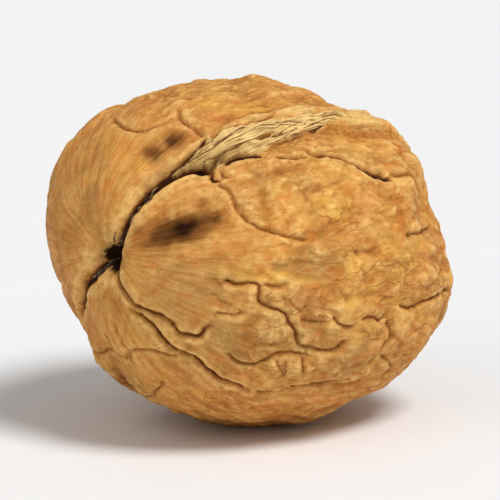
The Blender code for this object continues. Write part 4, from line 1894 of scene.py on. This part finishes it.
        # worn ridges are smoother, and the band and the cracks' halos are duller
        roughness = wire.span(cream, 0.0, 1.0, self.roughness, self.cream_roughness)
        roughness = wire.times_plus(ridge_highlight_and_hollow_shade.outputs["WearAndHighlight"], -0.14, roughness)
        roughness = wire.times_plus(stain.outputs["Ring"], 0.18, roughness)
        wire.put(surface.inputs["Roughness"], roughness)
        surface.inputs["Specular IOR Level"].default_value = self.specular

        layers = [
            wire.maths("MULTIPLY", fine, by_rough(0.020, 0.012)),
            wire.maths("MULTIPLY", wire.noise(place, 2.6, detail=5.0, rough=0.58), 0.060),
            wire.maths("MULTIPLY", dots, -0.05),
            wire.maths("MULTIPLY", creases, -0.06),
            wire.maths("MULTIPLY", wire.maths("MULTIPLY", fibres, cream), 0.09),
        ]
        height = layers[0]
        for layer in layers[1:]:
            height = wire.maths("ADD", height, layer)
        wire.bump(surface, height)
        return material

    def clouds(self, wire: Wiring, place: Socket, rough: Socket) -> Socket:
        """The ground: cloudy patches of many sizes, longer along the nut, and the patches set by hand.

        Args:
            wire: the material's wiring.
            place: coordinates in millimetres.
            rough: 0 on the smooth panels at the stem, 1 on the rough part.

        Returns:
            The colour.
        """
        lengthwise = wire.stretch(place, (0.6, 1.0, 1.0))

        def clouded(colour: Socket | Colour, layers: tuple[Clouding, ...]) -> Socket:
            """Lays patches over a colour.

            Args:
                colour: the colour below.
                layers: the patches, the lowest first.

            Returns:
                The colour with them.
            """
            for layer in layers:
                inputs = {"Vector": lengthwise, "Size": layer.size, "Middle": layer.middle,
                          "Softness": layer.softness}
                patches = wire.effect(Mottle().tree(), inputs).outputs["Mask"]
                strength = wire.span(rough, 0.0, 1.0, layer.smooth, layer.rugged)
                colour = wire.over(colour, patches, strength, layer.tint)
            return colour

        colour = clouded(self.tan, self.ground)
        # the grey patches are partly painted shade, darkening the lower near cheek
        for mask, most, tint in self.placed:
            colour = wire.blend(wire.span(wire.mask(mask), 0.0, 0.9, 0.0, most), colour, tint)
        return clouded(colour, self.clouding)


@dataclass(frozen=True)
class StripFinish:
    """Papery strips of the suture: cream and grey-brown, streaked lengthwise."""

    light: Colour = shade(244, 208, 140)
    dark: Colour = shade(200, 152, 86)
    roughness: float = 0.75

    def make(self) -> bpy.types.Material:
        """Wires the finish.

        Returns:
            The material.
        """
        material, wire, surface = new_material("papery_strip")
        place = wire.millimetres()
        inputs = {"Vector": place, "Size": 0.7, "Middle": 0.5, "Softness": 0.2}
        cloud = wire.effect(Mottle().tree(), inputs).outputs["Mask"]
        tone = wire.times_plus(cloud, 0.5, wire.maths("MULTIPLY", wire.mask("tone"), 0.5))
        wire.put(surface.inputs["Base Color"], wire.blend(tone, self.dark, self.light))
        surface.inputs["Roughness"].default_value = self.roughness
        wire.bump(surface, wire.maths("MULTIPLY", wire.noise(place, 6.0, detail=3.0), 0.03))
        return material


@dataclass(frozen=True)
class FrayFinish:
    """Frayed fibres of the scar: nearly black at the root, olive brown at some tips."""

    light: Colour = shade(196, 166, 122)
    dark: Colour = shade(62, 36, 16)
    roughness: float = 0.8

    def make(self) -> bpy.types.Material:
        """Wires the finish.

        Returns:
            The material.
        """
        material, wire, surface = new_material("frayed_fibre")
        place = wire.millimetres()
        inputs = {"Vector": place, "Size": 0.5, "Middle": 0.5, "Softness": 0.2}
        cloud = wire.effect(Mottle().tree(), inputs).outputs["Mask"]
        tone = wire.maths("MULTIPLY", wire.span(wire.mask("tone"), 0.35, 1.0), cloud)
        wire.put(surface.inputs["Base Color"], wire.blend(tone, self.dark, self.light))
        surface.inputs["Roughness"].default_value = self.roughness
        wire.bump(surface, wire.maths("MULTIPLY", wire.noise(place, 9.0, detail=2.0), 0.03))
        return material


@dataclass(frozen=True)
class FloorFinish:
    """Plain pale floor, all but white."""

    light: Colour = (0.88, 0.88, 0.88, 1.0)
    dark: Colour = (0.85, 0.85, 0.85, 1.0)
    roughness: float = 0.6

    def make(self) -> bpy.types.Material:
        """Wires the finish.

        Returns:
            The material.
        """
        material, wire, surface = new_material("pale_floor")
        cloud = wire.noise(wire.millimetres(), 0.05, detail=2.0)
        wire.put(surface.inputs["Base Color"], wire.blend(cloud, self.dark, self.light))
        surface.inputs["Roughness"].default_value = self.roughness
        return material


@dataclass(frozen=True)
class SoftLight:
    """One wide, even light, as from a large soft screen far off.

    turn_deg is its bearing from the camera's, width_deg how wide it looks from the nut, which sets how
    soft its shadows are, and strength its power in watts a square metre.
    """

    name: str
    turn_deg: float
    elevation_deg: float
    width_deg: float
    strength: float


@dataclass
class Studio:
    """Floor, soft lights and camera. Angles are in degrees and lengths in metres."""

    azimuth_deg: float = -48.3
    elevation_deg: float = 11.0
    lens_mm: float = 250.0
    sensor_mm: float = 36.0
    view_width: float = 0.050
    nearest_share: float = 0.05
    farthest: float = 20.0
    floor_half: float = 3.0
    surround: float = 0.34
    lights: tuple[SoftLight, ...] = (SoftLight("key", 46.0, 58.0, 22.0, 2.55),
                                     SoftLight("front", -45.0, 38.0, 50.0, 0.45))

    def floor(self) -> None:
        """A square floor at the height that the nut rests on."""
        corners = np.array([(-1, -1, 0), (1, -1, 0), (1, 1, 0), (-1, 1, 0)]) * self.floor_half
        made = new_piece("floor", corners, [[0, 1, 2, 3]])
        made.data.materials.append(FloorFinish().make())
        made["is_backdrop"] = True

    def direction(self, azimuth_deg: float, elevation_deg: float) -> Vector:
        """The unit vector from the nut towards a bearing.

        Args:
            azimuth_deg: 0 is on the -Y side, and 90 on the +X side.
            elevation_deg: above the horizon.

        Returns:
            The direction.
        """
        azimuth, elevation = math.radians(azimuth_deg), math.radians(elevation_deg)
        level = math.cos(elevation)
        return Vector((math.sin(azimuth) * level, -math.cos(azimuth) * level, math.sin(elevation)))

    def light(self, soft: SoftLight) -> None:
        """Puts up one light.

        Args:
            soft: the light.
        """
        sun = bpy.data.lights.new(soft.name, "SUN")
        sun.angle = math.radians(soft.width_deg)
        sun.energy = soft.strength
        made = bpy.data.objects.new(soft.name, sun)
        back = self.direction(self.azimuth_deg + soft.turn_deg, soft.elevation_deg)
        made.rotation_euler = (-back).to_track_quat("-Z", "Y").to_euler()
        bpy.context.scene.collection.objects.link(made)

    def camera(self) -> None:
        """A long lens at the photo's angle, on the middle of the nut."""
        low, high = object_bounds()
        data = bpy.data.cameras.new("camera")
        data.lens, data.sensor_width = self.lens_mm, self.sensor_mm
        distance = self.view_width * self.lens_mm / self.sensor_mm
        data.clip_start, data.clip_end = distance * self.nearest_share, self.farthest
        made = bpy.data.objects.new("camera", data)
        back = self.direction(self.azimuth_deg, self.elevation_deg)
        made.location = (low + high) / 2 + back * distance
        made.rotation_euler = (-back).to_track_quat("-Z", "Y").to_euler()
        bpy.context.scene.collection.objects.link(made)
        bpy.context.scene.camera = made

    def sky(self) -> None:
        """An even white surround, and colours shown as they are."""
        world = bpy.data.worlds.new("surround")
        world.use_nodes = True
        light = world.node_tree.nodes["Background"]
        light.inputs["Color"].default_value = (1.0, 1.0, 1.0, 1.0)
        light.inputs["Strength"].default_value = self.surround
        bpy.context.scene.world = world
        bpy.context.scene.view_settings.view_transform = "Standard"

    def build(self) -> None:
        """Sets up the floor, the lights and the camera."""
        self.floor()
        for soft in self.lights:
            self.light(soft)
        self.camera()
        self.sky()


def dress(piece: bpy.types.Object, material: bpy.types.Material) -> None:
    """Gives a piece its material and its body, and reports it.

    Args:
        piece: the piece.
        material: its finish.
    """
    piece.data.materials.append(material)
    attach(piece, CAD_BODY)
    log.info("%s: %d points, %d faces", piece.name, len(piece.data.vertices), len(piece.data.polygons))


def main() -> None:
    """Builds the nut and its surroundings."""
    logging.basicConfig(level=logging.INFO, format="%(message)s")
    shell = Shell(ShellForm())
    walnut_shell = shell.build("walnut_shell")
    dress(walnut_shell, ShellFinish().make())
    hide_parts(CAD_NODE)
    dress(SutureStrips(shell).build("suture_strips"), StripFinish().make())
    dress(ScarFibres(shell).build("scar_fibres"), FrayFinish().make())
    Studio().build()


if __name__ == "__main__":
    main()
